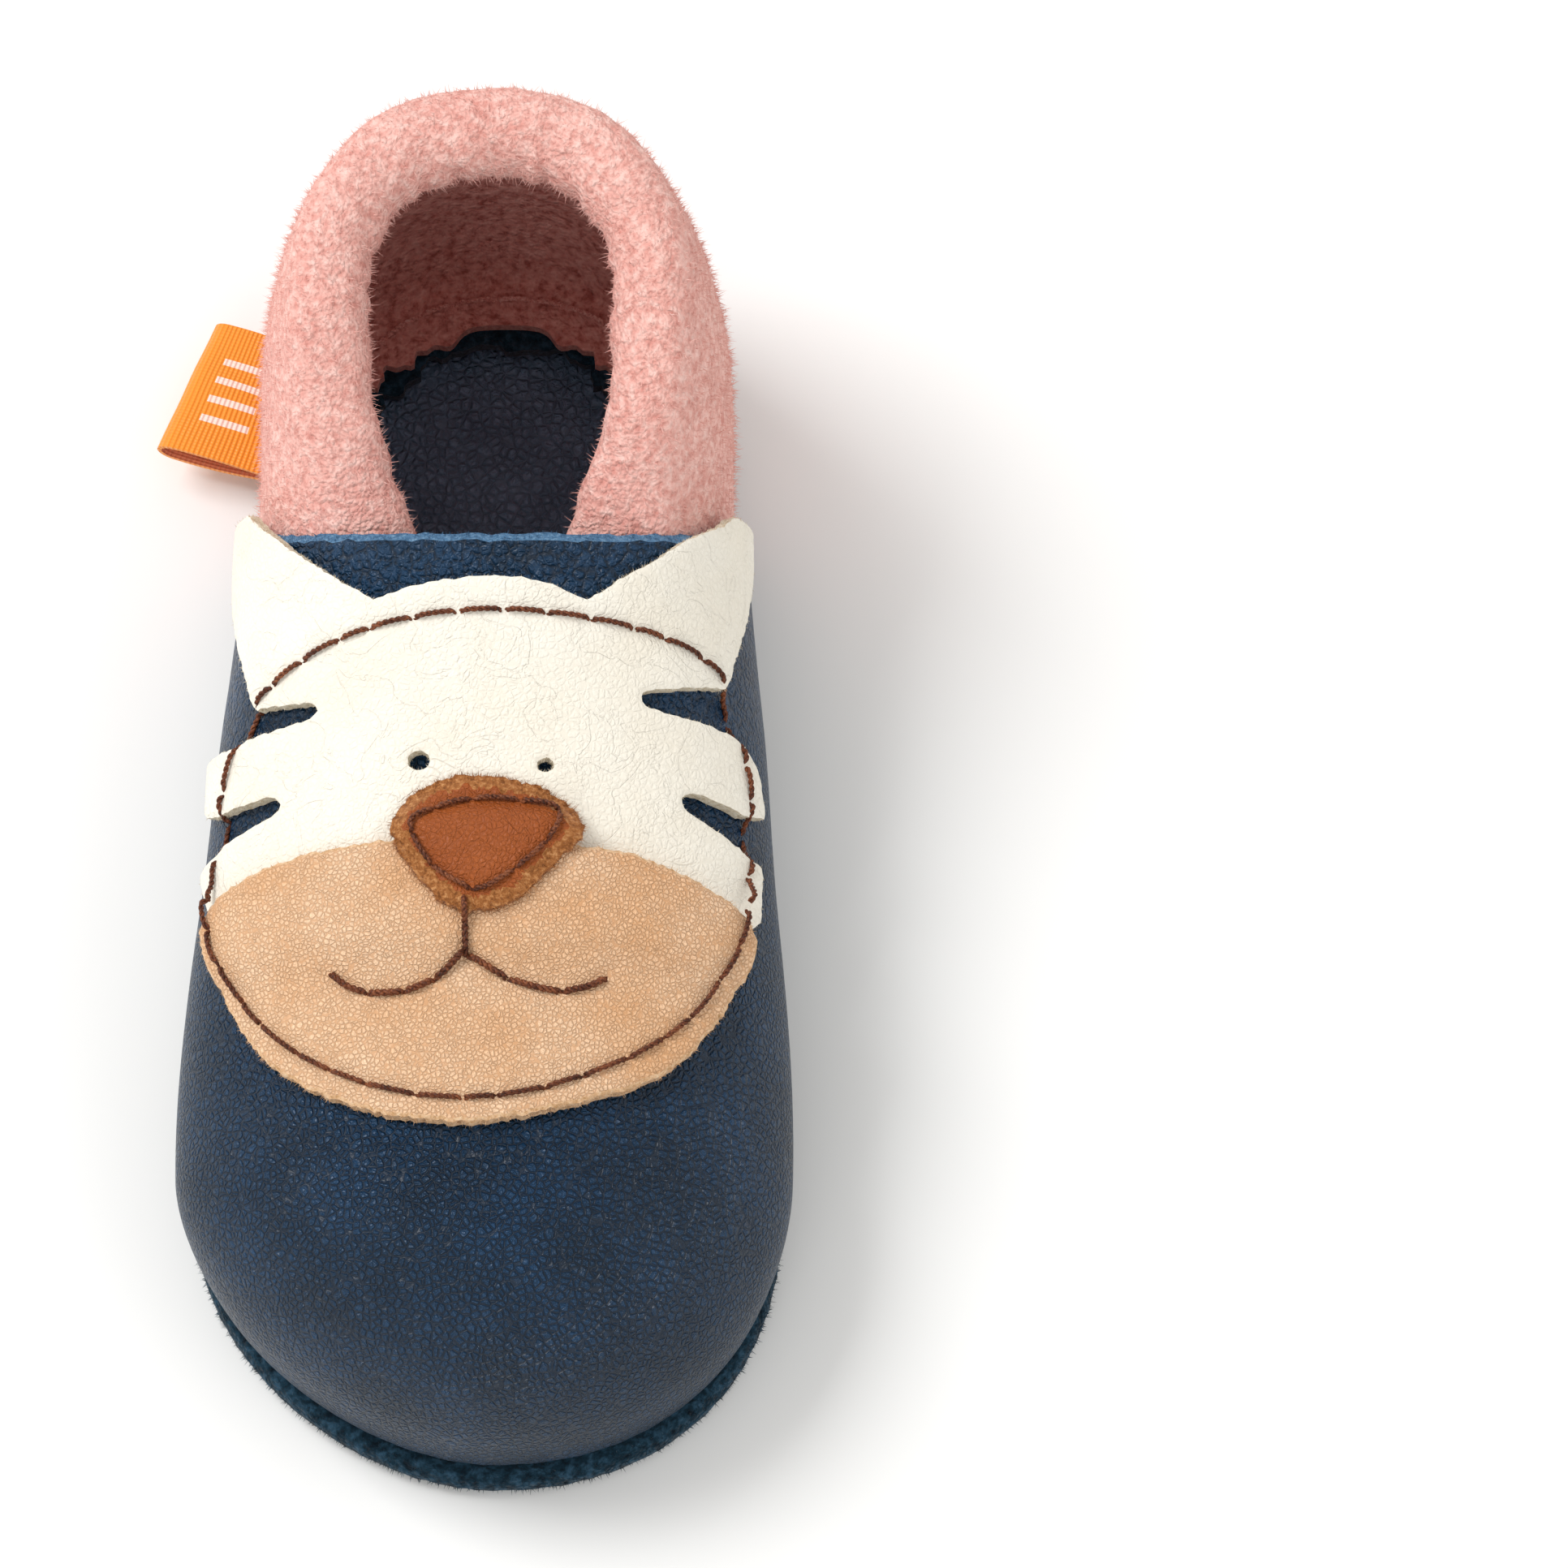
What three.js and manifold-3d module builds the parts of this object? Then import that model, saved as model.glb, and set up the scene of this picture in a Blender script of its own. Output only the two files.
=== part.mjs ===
// Soft leather crawling bootie, right foot. Millimetres, +Z up, toe toward -Y, outer side toward -X.
// Every leather piece is an offset of one form, so the sizes here move all of them together.
import * as THREE from "three";
import { mergeVertices } from "three/addons/utils/BufferGeometryUtils.js";
import Module from "manifold-3d";

// Driving sizes
const LENGTH = 134; // sole, toe to heel
const BALL_HALF = { [-1]: 30.6, [1]: 28.9 }; // sole half width at the ball, outer and inner side
const HEEL_HALF = { [-1]: 22.4, [1]: 22.1 };
const THROAT_HEIGHT = 42;
const THROAT_Y = 21;
const THROAT_SLANT = 0.42; // how far the vamp edge leans back per mm down
const COLLAR_HEIGHT = { arm: 35.5, side: 46, heel: 51 }; // where the roll starts
const LEATHER = 1.2;
const THICK_LEATHER = 1.4;
const GAP = 0.3; // between stacked leathers
const THREAD = 0.3; // radius
const RIBBON = 0.45;

const TOE_Y = -LENGTH / 2;
const HEEL_Y = LENGTH / 2;
const TOE_FAN = -37; // where the toe curve starts
const HEEL_FAN = 42;
const TOE_SPINE = -45;
const HEEL_SPINE = 42;
const TOE_POWER = { [-1]: 1.8, [1]: 2.2 };
const HEEL_POWER = 2.2;
const DOME_POWER = 2.2;
const SEAM_Z = 5.2;
const SOLE_EDGE = SEAM_Z - LEATHER - 2 * GAP - 0.1; // height of the rolled sole edge

// Layers, as offsets from the form
const QUARTER_OUT = 0.1;
const VAMP_IN = QUARTER_OUT + GAP;
const VAMP_OUT = VAMP_IN + LEATHER;
const FACE_IN = VAMP_OUT + GAP + 0.05;
const FACE_OUT = FACE_IN + LEATHER - 0.05;
const OVER_FACE = FACE_OUT + GAP + 0.05;

// Form, as [y, value] pairs along the foot
const CREST = [[TOE_SPINE, 27], [-11, 31.5], [THROAT_Y, THROAT_HEIGHT], [HEEL_SPINE, 66], [HEEL_Y, 75]];
const BULGE = [[TOE_Y, -2.6], [-50, -1.6], [-37, -0.4], [-9, 0], [12, 1.2], [30, 1.4], [HEEL_Y, 1.4]];
const INSET = [[TOE_Y, 3.4], [-37, 2.4], [12, 2], [50, 1.6], [HEEL_Y, 1.6]];
const WIDE_Z = [[TOE_Y, 9], [-37, 12], [0, 14], [42, 16], [HEEL_Y, 16]];
const ROLL_Z = [[6, 33.5], [THROAT_Y, COLLAR_HEIGHT.arm], [42, COLLAR_HEIGHT.side], [HEEL_Y, COLLAR_HEIGHT.heel]];
const ROLL_REACH = [[6, 5.5], [THROAT_Y, 7], [34, 9.5], [HEEL_Y, 10]];
const ROLL_RISE = [[6, 3], [THROAT_Y, 4], [34, 8], [HEEL_Y, 8]];

const wasm = await Module();
wasm.setup();

const V = (x, y, z) => new THREE.Vector3(x, y, z);
const smooth = (t) => THREE.MathUtils.smoothstep(t, 0, 1);

/** Value of a [y, value] list at y: monotone cubic between the points. */
function along(list, y) {
  const last = list.length - 1;
  const at = THREE.MathUtils.clamp(y, list[0][0], list[last][0]);
  let i = 0;
  while (i < last - 1 && at > list[i + 1][0]) i += 1;
  const slope = (k) => (list[k + 1][1] - list[k][1]) / (list[k + 1][0] - list[k][0]);
  const bend = (k) => {
    if (k === 0 || k === last || slope(k - 1) * slope(k) <= 0) return 0;
    return (2 * slope(k - 1) * slope(k)) / (slope(k - 1) + slope(k));
  };
  const h = list[i + 1][0] - list[i][0];
  const t = (at - list[i][0]) / h;
  const from = (1 + 2 * t) * (1 - t) ** 2 * list[i][1] + t * (1 - t) ** 2 * h * bend(i);
  return from + t * t * (3 - 2 * t) * list[i + 1][1] + t * t * (t - 1) * h * bend(i + 1);
}

/** Half of the sole outline, toe to heel. */
function halfOutline(side) {
  const points = [];
  const steps = 60;
  const quarter = (k) => ((Math.PI / 2) * k) / steps;
  const toe = 2 / TOE_POWER[side];
  const heel = 2 / HEEL_POWER;
  for (let k = 0; k <= steps; k += 1) {
    const c = Math.max(Math.cos(quarter(k)), 0);
    const x = side * BALL_HALF[side] * Math.sin(quarter(k)) ** toe;
    points.push(new THREE.Vector2(x, TOE_FAN - (TOE_FAN - TOE_Y) * c ** toe));
  }
  for (let k = 1; k <= steps; k += 1) {
    const ease = (1 + Math.cos((Math.PI * k) / steps)) / 2;
    const half = HEEL_HALF[side] + (BALL_HALF[side] - HEEL_HALF[side]) * ease;
    points.push(new THREE.Vector2(side * half, TOE_FAN + ((HEEL_FAN - TOE_FAN) * k) / steps));
  }
  for (let k = 1; k <= steps; k += 1) {
    const c = Math.max(Math.cos(quarter(k)), 0);
    const y = HEEL_FAN + (HEEL_Y - HEEL_FAN) * Math.sin(quarter(k)) ** heel;
    points.push(new THREE.Vector2(side * HEEL_HALF[side] * c ** heel, y));
  }
  const length = [0];
  for (let k = 1; k < points.length; k += 1) length.push(length[k - 1] + points[k].distanceTo(points[k - 1]));
  return { points, length, total: length[length.length - 1] };
}
const OUTLINE = { [-1]: halfOutline(-1), [1]: halfOutline(1) };

function rim(side, q) {
  const { points, length, total } = OUTLINE[side];
  const d = q * total;
  let i = 0;
  while (i < points.length - 2 && length[i + 1] < d) i += 1;
  return points[i].clone().lerp(points[i + 1], (d - length[i]) / (length[i + 1] - length[i]));
}

function shareAt(side, y) {
  const { points, length, total } = OUTLINE[side];
  let i = 0;
  while (i < points.length - 2 && points[i + 1].y < y) i += 1;
  const t = (y - points[i].y) / (points[i + 1].y - points[i].y);
  return (length[i] + t * (length[i + 1] - length[i])) / total;
}

/** One upright slice of the form, from the spine out to the sole outline. */
class Section {
  constructor(side, q) {
    const edge = rim(side, q);
    this.y = edge.y;
    this.side = side;
    this.spine = new THREE.Vector2(0, THREE.MathUtils.clamp(edge.y, TOE_SPINE, HEEL_SPINE));
    const out = edge.clone().sub(this.spine);
    this.reach = out.length();
    this.out = out.normalize();
    this.crest = along(CREST, edge.y);
    this.wide = this.reach + along(BULGE, edge.y);
    this.seam = this.reach - along(INSET, edge.y);
    this.wideZ = along(WIDE_Z, edge.y);
  }
  /** Point of the form in the slice: u = -1 at the sole seam, 0 at the widest, 1 at the crest. */
  form(u) {
    const c = Math.max(Math.cos((u * Math.PI) / 2), 0);
    const s = Math.sin((u * Math.PI) / 2);
    if (u < 0) {
      return [this.seam + (this.wide - this.seam) * c, this.wideZ + (this.wideZ - SEAM_Z) * s];
    }
    const p = 2 / DOME_POWER;
    return [this.wide * c ** p, this.wideZ + (this.crest - this.wideZ) * s ** p];
  }
  tangent(u) {
    const [r0, z0] = this.form(Math.max(u - 1e-4, -1));
    const [r1, z1] = this.form(Math.min(u + 1e-4, 1));
    const size = Math.hypot(r1 - r0, z1 - z0);
    return [(r1 - r0) / size, (z1 - z0) / size];
  }
  /** The form moved out by d. */
  offset(u, d) {
    const [r, z] = this.form(u);
    const [tr, tz] = this.tangent(u);
    return [r + tz * d, z - tr * d];
  }
  place([r, z]) {
    return V(this.spine.x + this.out.x * r, this.spine.y + this.out.y * r, z);
  }
  at(u, d) {
    return this.place(this.offset(u, d));
  }
  /** The u found by walking back along the form from u. */
  back(u, length) {
    let at = u;
    for (let walked = 0; walked < length && at > -1; at -= 0.01) {
      const [r0, z0] = this.form(at);
      const [r1, z1] = this.form(at - 0.01);
      walked += Math.hypot(r1 - r0, z1 - z0);
    }
    return at;
  }
  /** The u that reaches height z above the widest line. */
  uAt(z) {
    let [low, high] = [0, 1];
    for (let k = 0; k < 30; k += 1) {
      const mid = (low + high) / 2;
      if (this.form(mid)[1] < z) low = mid;
      else high = mid;
    }
    return low;
  }
}

/** Slices on one side, toe to heel: the toe fan's steps, then straight rows, then the heel fan's rows. */
const HEEL_ROW = 5.42;
function slices(side, fromY, toY, toeSteps, rowSize) {
  const list = [];
  const start = shareAt(side, TOE_SPINE);
  const end = shareAt(side, HEEL_SPINE);
  if (fromY === null) for (let k = 0; k < toeSteps; k += 1) list.push(new Section(side, (start * k) / toeSteps));
  const low = fromY === null ? TOE_SPINE : fromY;
  const high = toY === null ? HEEL_SPINE : toY;
  const rows = Math.round((high - low) / rowSize);
  for (let k = 0; k <= rows; k += 1) list.push(new Section(side, shareAt(side, low + ((high - low) * k) / rows)));
  if (toY === null) {
    const heelSteps = Math.round(((1 - end) * OUTLINE[side].total) / HEEL_ROW);
    for (let k = 1; k <= heelSteps; k += 1) list.push(new Section(side, end + ((1 - end) * k) / heelSteps));
  }
  return list;
}

/** A closed mesh from vertex triples: merged, without slivers, facing out. */
function solid(triangles) {
  const flat = new Float32Array(triangles.length * 9);
  triangles.forEach((t, i) => t.forEach((p, k) => flat.set([p.x, p.y, p.z], i * 9 + k * 3)));
  const raw = new THREE.BufferGeometry().setAttribute("position", new THREE.BufferAttribute(flat, 3));
  const merged = mergeVertices(raw, 2e-3);
  const index = Array.from(merged.index.array);
  const kept = [];
  for (let i = 0; i < index.length; i += 3) {
    const [a, b, c] = index.slice(i, i + 3);
    if (a !== b && b !== c && a !== c) kept.push(a, b, c);
  }
  const p = merged.getAttribute("position");
  const corner = (i) => new THREE.Vector3().fromBufferAttribute(p, i);
  let volume = 0;
  for (let i = 0; i < kept.length; i += 3) {
    volume += corner(kept[i]).dot(corner(kept[i + 1]).cross(corner(kept[i + 2])));
  }
  if (volume < 0) for (let i = 0; i < kept.length; i += 3) [kept[i], kept[i + 1]] = [kept[i + 1], kept[i]];
  merged.setIndex(kept);
  return merged;
}

const quad = (list, a, b, c, d) => list.push([a, b, c], [a, c, d]);

/** A skin from rows of {outer, inner} points; the rows may close in a ring, and may share a spine. */
function skin(rows, { ring = false, spine = false } = {}) {
  const list = [];
  const count = rows[0].outer.length;
  const last = rows.length - 1;
  for (let j = 0; j < (ring ? rows.length : last); j += 1) {
    const a = rows[j];
    const b = rows[(j + 1) % rows.length];
    for (let k = 0; k < count - 1; k += 1) {
      quad(list, a.outer[k], b.outer[k], b.outer[k + 1], a.outer[k + 1]);
      quad(list, a.inner[k + 1], b.inner[k + 1], b.inner[k], a.inner[k]);
    }
    quad(list, b.outer[0], a.outer[0], a.inner[0], b.inner[0]);
    if (!spine) quad(list, a.outer[count - 1], b.outer[count - 1], b.inner[count - 1], a.inner[count - 1]);
  }
  if (!ring) {
    for (let k = 0; k < count - 1; k += 1) {
      quad(list, rows[0].outer[k], rows[0].outer[k + 1], rows[0].inner[k + 1], rows[0].inner[k]);
      const e = rows[last];
      quad(list, e.outer[k + 1], e.outer[k], e.inner[k], e.inner[k + 1]);
    }
  }
  return solid(list);
}

/** A bent strip of even thickness round a path of [r, z] points in a slice. */
function thicken(section, path, half) {
  const outer = [];
  const inner = [];
  path.forEach(([r, z], k) => {
    const [r0, z0] = path[Math.max(k - 1, 0)];
    const [r1, z1] = path[Math.min(k + 1, path.length - 1)];
    const size = Math.hypot(r1 - r0, z1 - z0);
    const [nr, nz] = [(z1 - z0) / size, -(r1 - r0) / size];
    outer.push(section.place([r + nr * half, z + nz * half]));
    inner.push(section.place([r - nr * half, z - nz * half]));
  });
  return { outer, inner };
}

const spread = (from, to, steps) => Array.from({ length: steps + 1 }, (_, k) => from + ((to - from) * k) / steps);

// Sole: flat sheet, its edge rolled up to the seam and turned in over the footbed
const ROLL_STEPS = 5;
const ALLOWANCE = 6;
const TAG = { y: 50.5, width: 15, length: 10.5, belly: 1.3, rise: 0.1, seam: 2.4, slack: 0.8 };
const BEHIND_TAG = TAG.y + TAG.width / 2 + 2; // the sole edge stays low as far as the tag, which lies on it
const BEHIND_VAMP = 42;
function soleEdge(section) {
  const behind = section.y - (section.side < 0 ? BEHIND_TAG : BEHIND_VAMP);
  const raise = smooth(behind / (section.side < 0 ? 5 : 6));
  return SOLE_EDGE + raise * (LEATHER + GAP);
}
function soleRow(section) {
  const half = LEATHER / 2;
  const edge = soleEdge(section);
  const radius = edge / 2 - half;
  const turn = section.reach - edge / 2;
  const wave = 0.6 * Math.sin(section.y * 0.9) + 0.4 * Math.sin(section.y * 2.3 + section.side);
  const path = [[0, half], [turn * 0.6, half]];
  for (const t of spread(-Math.PI / 2, Math.PI / 2, ROLL_STEPS)) {
    path.push([turn + radius * Math.cos(t), edge / 2 + radius * Math.sin(t)]);
  }
  path.push([turn - ALLOWANCE / 2, edge - half], [turn - ALLOWANCE + wave, edge - half]);
  const row = thicken(section, path, half);
  return { outer: row.outer.reverse(), inner: row.inner.reverse() };
}
function soleGeometry() {
  const right = slices(1, null, null, 8, 7);
  const tagEnd = new Section(-1, shareAt(-1, BEHIND_TAG));
  const left = [...slices(-1, null, null, 8, 7), tagEnd].sort((a, b) => a.y - b.y).slice(1, -1).reverse();
  return skin([...right, ...left].map(soleRow), { ring: true, spine: true });
}

/** Body cut by a large block that stands on a plane. */
function cut(geometry, blocks) {
  const toSolid = (g) => {
    const clean = mergeVertices(g.deleteAttribute("normal").deleteAttribute("uv"), 1e-3);
    const triVerts = new Uint32Array(clean.index.array);
    const vertProperties = new Float32Array(clean.getAttribute("position").array);
    return new wasm.Manifold(new wasm.Mesh({ numProp: 3, vertProperties, triVerts }));
  };
  let body = toSolid(geometry);
  for (const block of blocks) body = body.subtract(toSolid(block));
  const mesh = body.getMesh();
  const out = new THREE.BufferGeometry();
  const xyz = [];
  for (let i = 0; i < mesh.vertProperties.length; i += mesh.numProp) xyz.push(...mesh.vertProperties.slice(i, i + 3));
  out.setAttribute("position", new THREE.BufferAttribute(new Float32Array(xyz), 3));
  return out.setIndex(Array.from(mesh.triVerts));
}

// Vamp: dome over the toes, lower edge turned in, rear edge cut on a slant
const VAMP_STEPS = 13;
const VAMP_FLANGE = 4;
function vampRow(section) {
  const row = { outer: [], inner: [] };
  for (const [list, d] of [[row.outer, VAMP_OUT], [row.inner, VAMP_IN]]) {
    const [r, z] = section.offset(-1, d);
    list.push(section.place([r - VAMP_FLANGE, z]));
    for (const u of spread(-1, 1, VAMP_STEPS)) list.push(section.at(u, d));
  }
  return row;
}
function vampGeometry() {
  const right = slices(1, null, 40, 8, 6.5);
  const left = slices(-1, null, 40, 8, 6.5).slice(1).reverse();
  const size = 160;
  const block = new THREE.BoxGeometry(size, size, size).translate(0, size / 2, 0);
  block.rotateX(Math.atan(THROAT_SLANT)).translate(0, THROAT_Y, THROAT_HEIGHT);
  return cut(skin([...left, ...right].map(vampRow), { spine: true }), [block]);
}

// Heel quarter: wall, fat folded collar and turned-in lower edge
const QUARTER_MID = QUARTER_OUT - LEATHER / 2;
const QUARTER_FRONT = 6;
const QUARTER_FLANGE = 5.2;
const CASING = 8; // depth of the casing along the wall
const FLAP = 3; // leather below the casing stitch
function collar(section) {
  const top = section.uAt(along(ROLL_Z, section.y));
  const low = section.back(top, CASING);
  const flapD = QUARTER_MID - LEATHER - GAP - 0.05;
  const start = section.offset(top, QUARTER_MID);
  const end = section.offset(low, flapD);
  const tail = section.offset(section.back(low, FLAP), flapD);
  const [tr, tz] = section.tangent(top);
  const [er, ez] = section.tangent(low);
  const reach = along(ROLL_REACH, section.y);
  const rise = along(ROLL_RISE, section.y);
  const p1 = [start[0] + tr * rise, start[1] + tz * rise];
  const p2 = [end[0] + er * 7 - reach, end[1] + ez * 7];
  const point = (t) => [0, 1].map((i) => {
    const s = 1 - t;
    return s ** 3 * start[i] + 3 * s * s * t * p1[i] + 3 * s * t * t * p2[i] + t ** 3 * end[i];
  });
  return { top, low, point, end, tail };
}
function quarterRow(section) {
  const { top, point, tail } = collar(section);
  const wave = 0.7 * Math.sin(section.y * 0.55 + 1) + 0.5 * Math.sin(section.y * 1.7);
  const [r, z] = section.offset(-1, QUARTER_MID);
  const path = [[r - QUARTER_FLANGE + wave, z], [r - QUARTER_FLANGE / 2, z]];
  for (const u of [-1, -0.85, -0.6, -0.3]) path.push(section.offset(u, QUARTER_MID));
  for (const u of spread(0, top, 5)) path.push(section.offset(u, QUARTER_MID));
  for (const t of spread(0, 1, 8).slice(1)) path.push(point(t));
  path.push(tail);
  return thicken(section, path, LEATHER / 2);
}
const quarterSlices = () => [
  ...slices(-1, QUARTER_FRONT, null, 0, 5.2),
  ...slices(1, QUARTER_FRONT, null, 0, 5.2).slice(0, -1).reverse(),
];

// Elastic: a flat band loose in the casing
const ELASTIC_THICK = 0.9;
const ELASTIC_TALL = [[6, 1.8], [THROAT_Y, 2.4], [34, 4.5], [HEEL_Y, 4.5]];
function elasticRow(section) {
  const { point, low, top } = collar(section);
  const ring = [section.offset(low, QUARTER_MID), section.offset((low + top) / 2, QUARTER_MID)];
  ring.push(...[0, 0.2, 0.4, 0.6, 0.8, 1].map((t) => point(t)));
  const mid = [0, 1].map((i) => ring.reduce((sum, p) => sum + p[i], 0) / ring.length);
  const [tr, tz] = section.tangent((low + top) / 2);
  const tall = along(ELASTIC_TALL, section.y) / 2;
  const path = [-1, 1].map((s) => [mid[0] + tr * s * tall, mid[1] + tz * s * tall]);
  return thicken(section, path, ELASTIC_THICK / 2);
}

// Flat cut leathers, laid on the form: a = distance from the crest round the form, y = along the foot
function aroundForm(a, y) {
  const side = a < 0 ? -1 : 1;
  const section = new Section(side, shareAt(side, y));
  const steps = 90;
  let walked = 0;
  let before = section.offset(1, VAMP_OUT);
  for (let k = 1; k <= steps; k += 1) {
    const now = section.offset(1 - (1.8 * k) / steps, VAMP_OUT);
    const step = Math.hypot(now[0] - before[0], now[1] - before[1]);
    if (walked + step >= Math.abs(a)) {
      return { section, u: 1 - (1.8 * (k - 1 + (Math.abs(a) - walked) / step)) / steps };
    }
    walked += step;
    before = now;
  }
  return { section, u: -0.8 };
}
function onForm(a, y, d) {
  const { section, u } = aroundForm(a, y);
  return section.at(u, d);
}

const spline = (points, steps, closed = false) =>
  new THREE.CatmullRomCurve3(points.map(([a, y]) => V(a, y, 0)), closed, "centripetal")
    .getSpacedPoints(steps).map((p) => new THREE.Vector2(p.x, p.y));
const corners = (points) => points.map(([a, y]) => new THREE.Vector2(a, y));
const circle = ([a, y], radius, steps) =>
  spread(0, 2 * Math.PI, steps).slice(0, -1).map((t) => new THREE.Vector2(a + radius * Math.cos(t), y + radius * Math.sin(t)));

/** Triangles of an outline, split until no edge is longer than MAX_EDGE, so that the sheet can bend. */
const MAX_EDGE = 4.6;
function sheetTriangles(outline, holes) {
  const points = [...outline, ...holes.flat()];
  let faces = THREE.ShapeUtils.triangulateShape(outline, holes);
  const middles = new Map();
  const middle = (i, j) => {
    const key = i < j ? `${i}_${j}` : `${j}_${i}`;
    if (points[i].distanceTo(points[j]) <= MAX_EDGE) return null;
    if (!middles.has(key)) middles.set(key, points.push(points[i].clone().lerp(points[j], 0.5)) - 1);
    return middles.get(key);
  };
  const longestFirst = (f) => {
    const size = [0, 1, 2].map((k) => points[f[k]].distanceTo(points[f[(k + 1) % 3]]));
    const k = size.indexOf(Math.max(...size));
    return [f[k], f[(k + 1) % 3], f[(k + 2) % 3]];
  };
  for (let again = true; again; ) {
    again = false;
    const next = [];
    for (const face of faces) {
      const [a, b, c] = longestFirst(face);
      const [ab, bc, ca] = [middle(a, b), middle(b, c), middle(c, a)];
      if (ab === null) {
        next.push([a, b, c]);
        continue;
      }
      again = true;
      if (bc !== null && ca !== null) next.push([a, ab, ca], [ab, b, bc], [bc, c, ca], [ab, bc, ca]);
      else if (bc !== null) next.push([a, ab, c], [ab, b, bc], [ab, bc, c]);
      else if (ca !== null) next.push([ab, b, c], [a, ab, ca], [ab, c, ca]);
      else next.push([a, ab, c], [ab, b, c]);
    }
    faces = next;
  }
  return { points, faces };
}

/** A cut leather laid on the form between two offsets, each a function of (a, y). */
function laid(outline, holes, under, over) {
  const { points, faces } = sheetTriangles(outline, holes);
  const low = points.map((p) => onForm(p.x, p.y, under(p.x, p.y)));
  const high = points.map((p) => onForm(p.x, p.y, over(p.x, p.y)));
  const edges = new Map();
  const list = [];
  for (const [i, j, k] of faces) {
    list.push([high[i], high[j], high[k]], [low[k], low[j], low[i]]);
    for (const [m, n] of [[i, j], [j, k], [k, i]]) {
      if (edges.has(`${n}_${m}`)) edges.delete(`${n}_${m}`);
      else edges.set(`${m}_${n}`, [m, n]);
    }
  }
  for (const [m, n] of edges.values()) quad(list, high[n], high[m], low[m], low[n]);
  return solid(list);
}

// Face, cut to leave the ears to bend at a straight fold
const FOLD_LEFT = [[-11.4, 14.6], [-26.9, 10.6]];
const FOLD_RIGHT = [[9.3, 14.4], [26.6, 12.4]];
const EAR_GAP = 0.35;
const EYES = [{ at: [-6.9, -1], radius: 1.1 }, { at: [5.4, -1.5], radius: 0.7 }];
const faceOutline = () => [
  ...corners([FOLD_LEFT[0]]),
  ...spline([[-11.4, 14.6], [-7, 15.6], [0, 16.2], [5, 15.8], [9.3, 14.4]], 8).slice(1, -1),
  ...corners(FOLD_RIGHT),
  ...corners([[25.4, 9.3], [16, 6.9], [14.6, 6.2], [15, 5.2], [16.4, 4.9], [27, 4.6], [29.8, 2.4], [30.6, -2.2]]),
  ...corners([[27, -3], [20, -2.4], [18.8, -3.2], [19.4, -4.4], [26.4, -6.9], [29.4, -7.6], [28.4, -13.8]]),
  ...corners([[25.2, -15.6], [12, -17], [-2, -17], [-14, -17], [-27.4, -15.2]]),
  ...corners([[-29.9, -13], [-33, -7.4], [-29.6, -6.2], [-22, -4.6], [-21, -3.7], [-22, -2.6], [-29.8, -2.4]]),
  ...corners([[-33.4, -1.3], [-34.6, 4.8], [-28.4, 4], [-18.4, 4.1], [-17, 4.9], [-18, 5.9], [-25.4, 6.9]]),
  ...corners([FOLD_LEFT[1]]),
].reverse();
const faceGeometry = () =>
  laid(faceOutline(), EYES.map((eye) => circle(eye.at, eye.radius, 8)), () => FACE_IN, () => FACE_OUT);

function earOutline([valley, foot], tip) {
  const shift = new THREE.Vector2(valley[1] - foot[1], foot[0] - valley[0]).normalize();
  if (shift.y < 0) shift.negate();
  const base = corners([valley, foot]).map((p) => p.addScaledVector(shift, EAR_GAP));
  return [base[0], ...corners(tip), base[1]];
}
const earLeft = () => earOutline(FOLD_LEFT, [[-24.4, 23.5], [-31.5, 27.2], [-38.3, 28.4], [-33.2, 20]]);
const earRight = () => earOutline(FOLD_RIGHT, [[21.2, 22.5], [31, 27], [37.6, 28], [31.6, 19.6]]).reverse();

// Muzzle: over the face at its top edge, down on the vamp below it
const DRAPE = { from: -17.8, to: -22.8 };
const muzzleUnder = (a, y) => FACE_IN + (OVER_FACE - FACE_IN) * smooth((y - DRAPE.to) / (DRAPE.from - DRAPE.to));
const muzzleOver = (a, y) => muzzleUnder(a, y) + THICK_LEATHER;
const muzzleOutline = () => [
  ...spline([[-28.6, -12.8], [-23.5, -10.9], [-17.1, -9.8], [-10.2, -9.3], [-1, -9.2], [7.4, -9.8]], 9),
  ...spline([[13.2, -10.2], [19.1, -11.8], [25.4, -14.2]], 3),
  ...spline([[26.4, -16.5], [25.7, -19.8], [22.1, -26], [17.6, -31], [10.8, -34.2], [-0.9, -36.9]], 10),
  ...spline([[-4, -36.9], [-12.6, -35.2], [-21.2, -30.3], [-25.7, -24.5], [-28.3, -19], [-29.5, -14.8]], 11),
].reverse();
const muzzleGeometry = () => laid(muzzleOutline(), [], muzzleUnder, muzzleOver);

// Nose: upper part on the face, lower part on the muzzle
const OVER_MUZZLE = OVER_FACE + THICK_LEATHER + GAP + 0.05;
const noseUnder = (a, y) => OVER_FACE + (OVER_MUZZLE - OVER_FACE) * smooth((-4.6 - y) / 4.1);
const noseOver = (a, y) => noseUnder(a, y) + LEATHER;
const noseOutline = () => spline([
  [-9.5, -8.6], [-8.4, -5.2], [-5, -3.1], [-1.6, -2.6], [1.8, -2.9], [6.8, -4.6], [9.2, -8.3],
  [6.5, -12.3], [2.4, -16.2], [-0.9, -17.2], [-3.6, -16.8], [-7.2, -13],
], 26, true).slice(0, -1).reverse();
const noseGeometry = () => laid(noseOutline(), [], noseUnder, noseOver);

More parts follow.
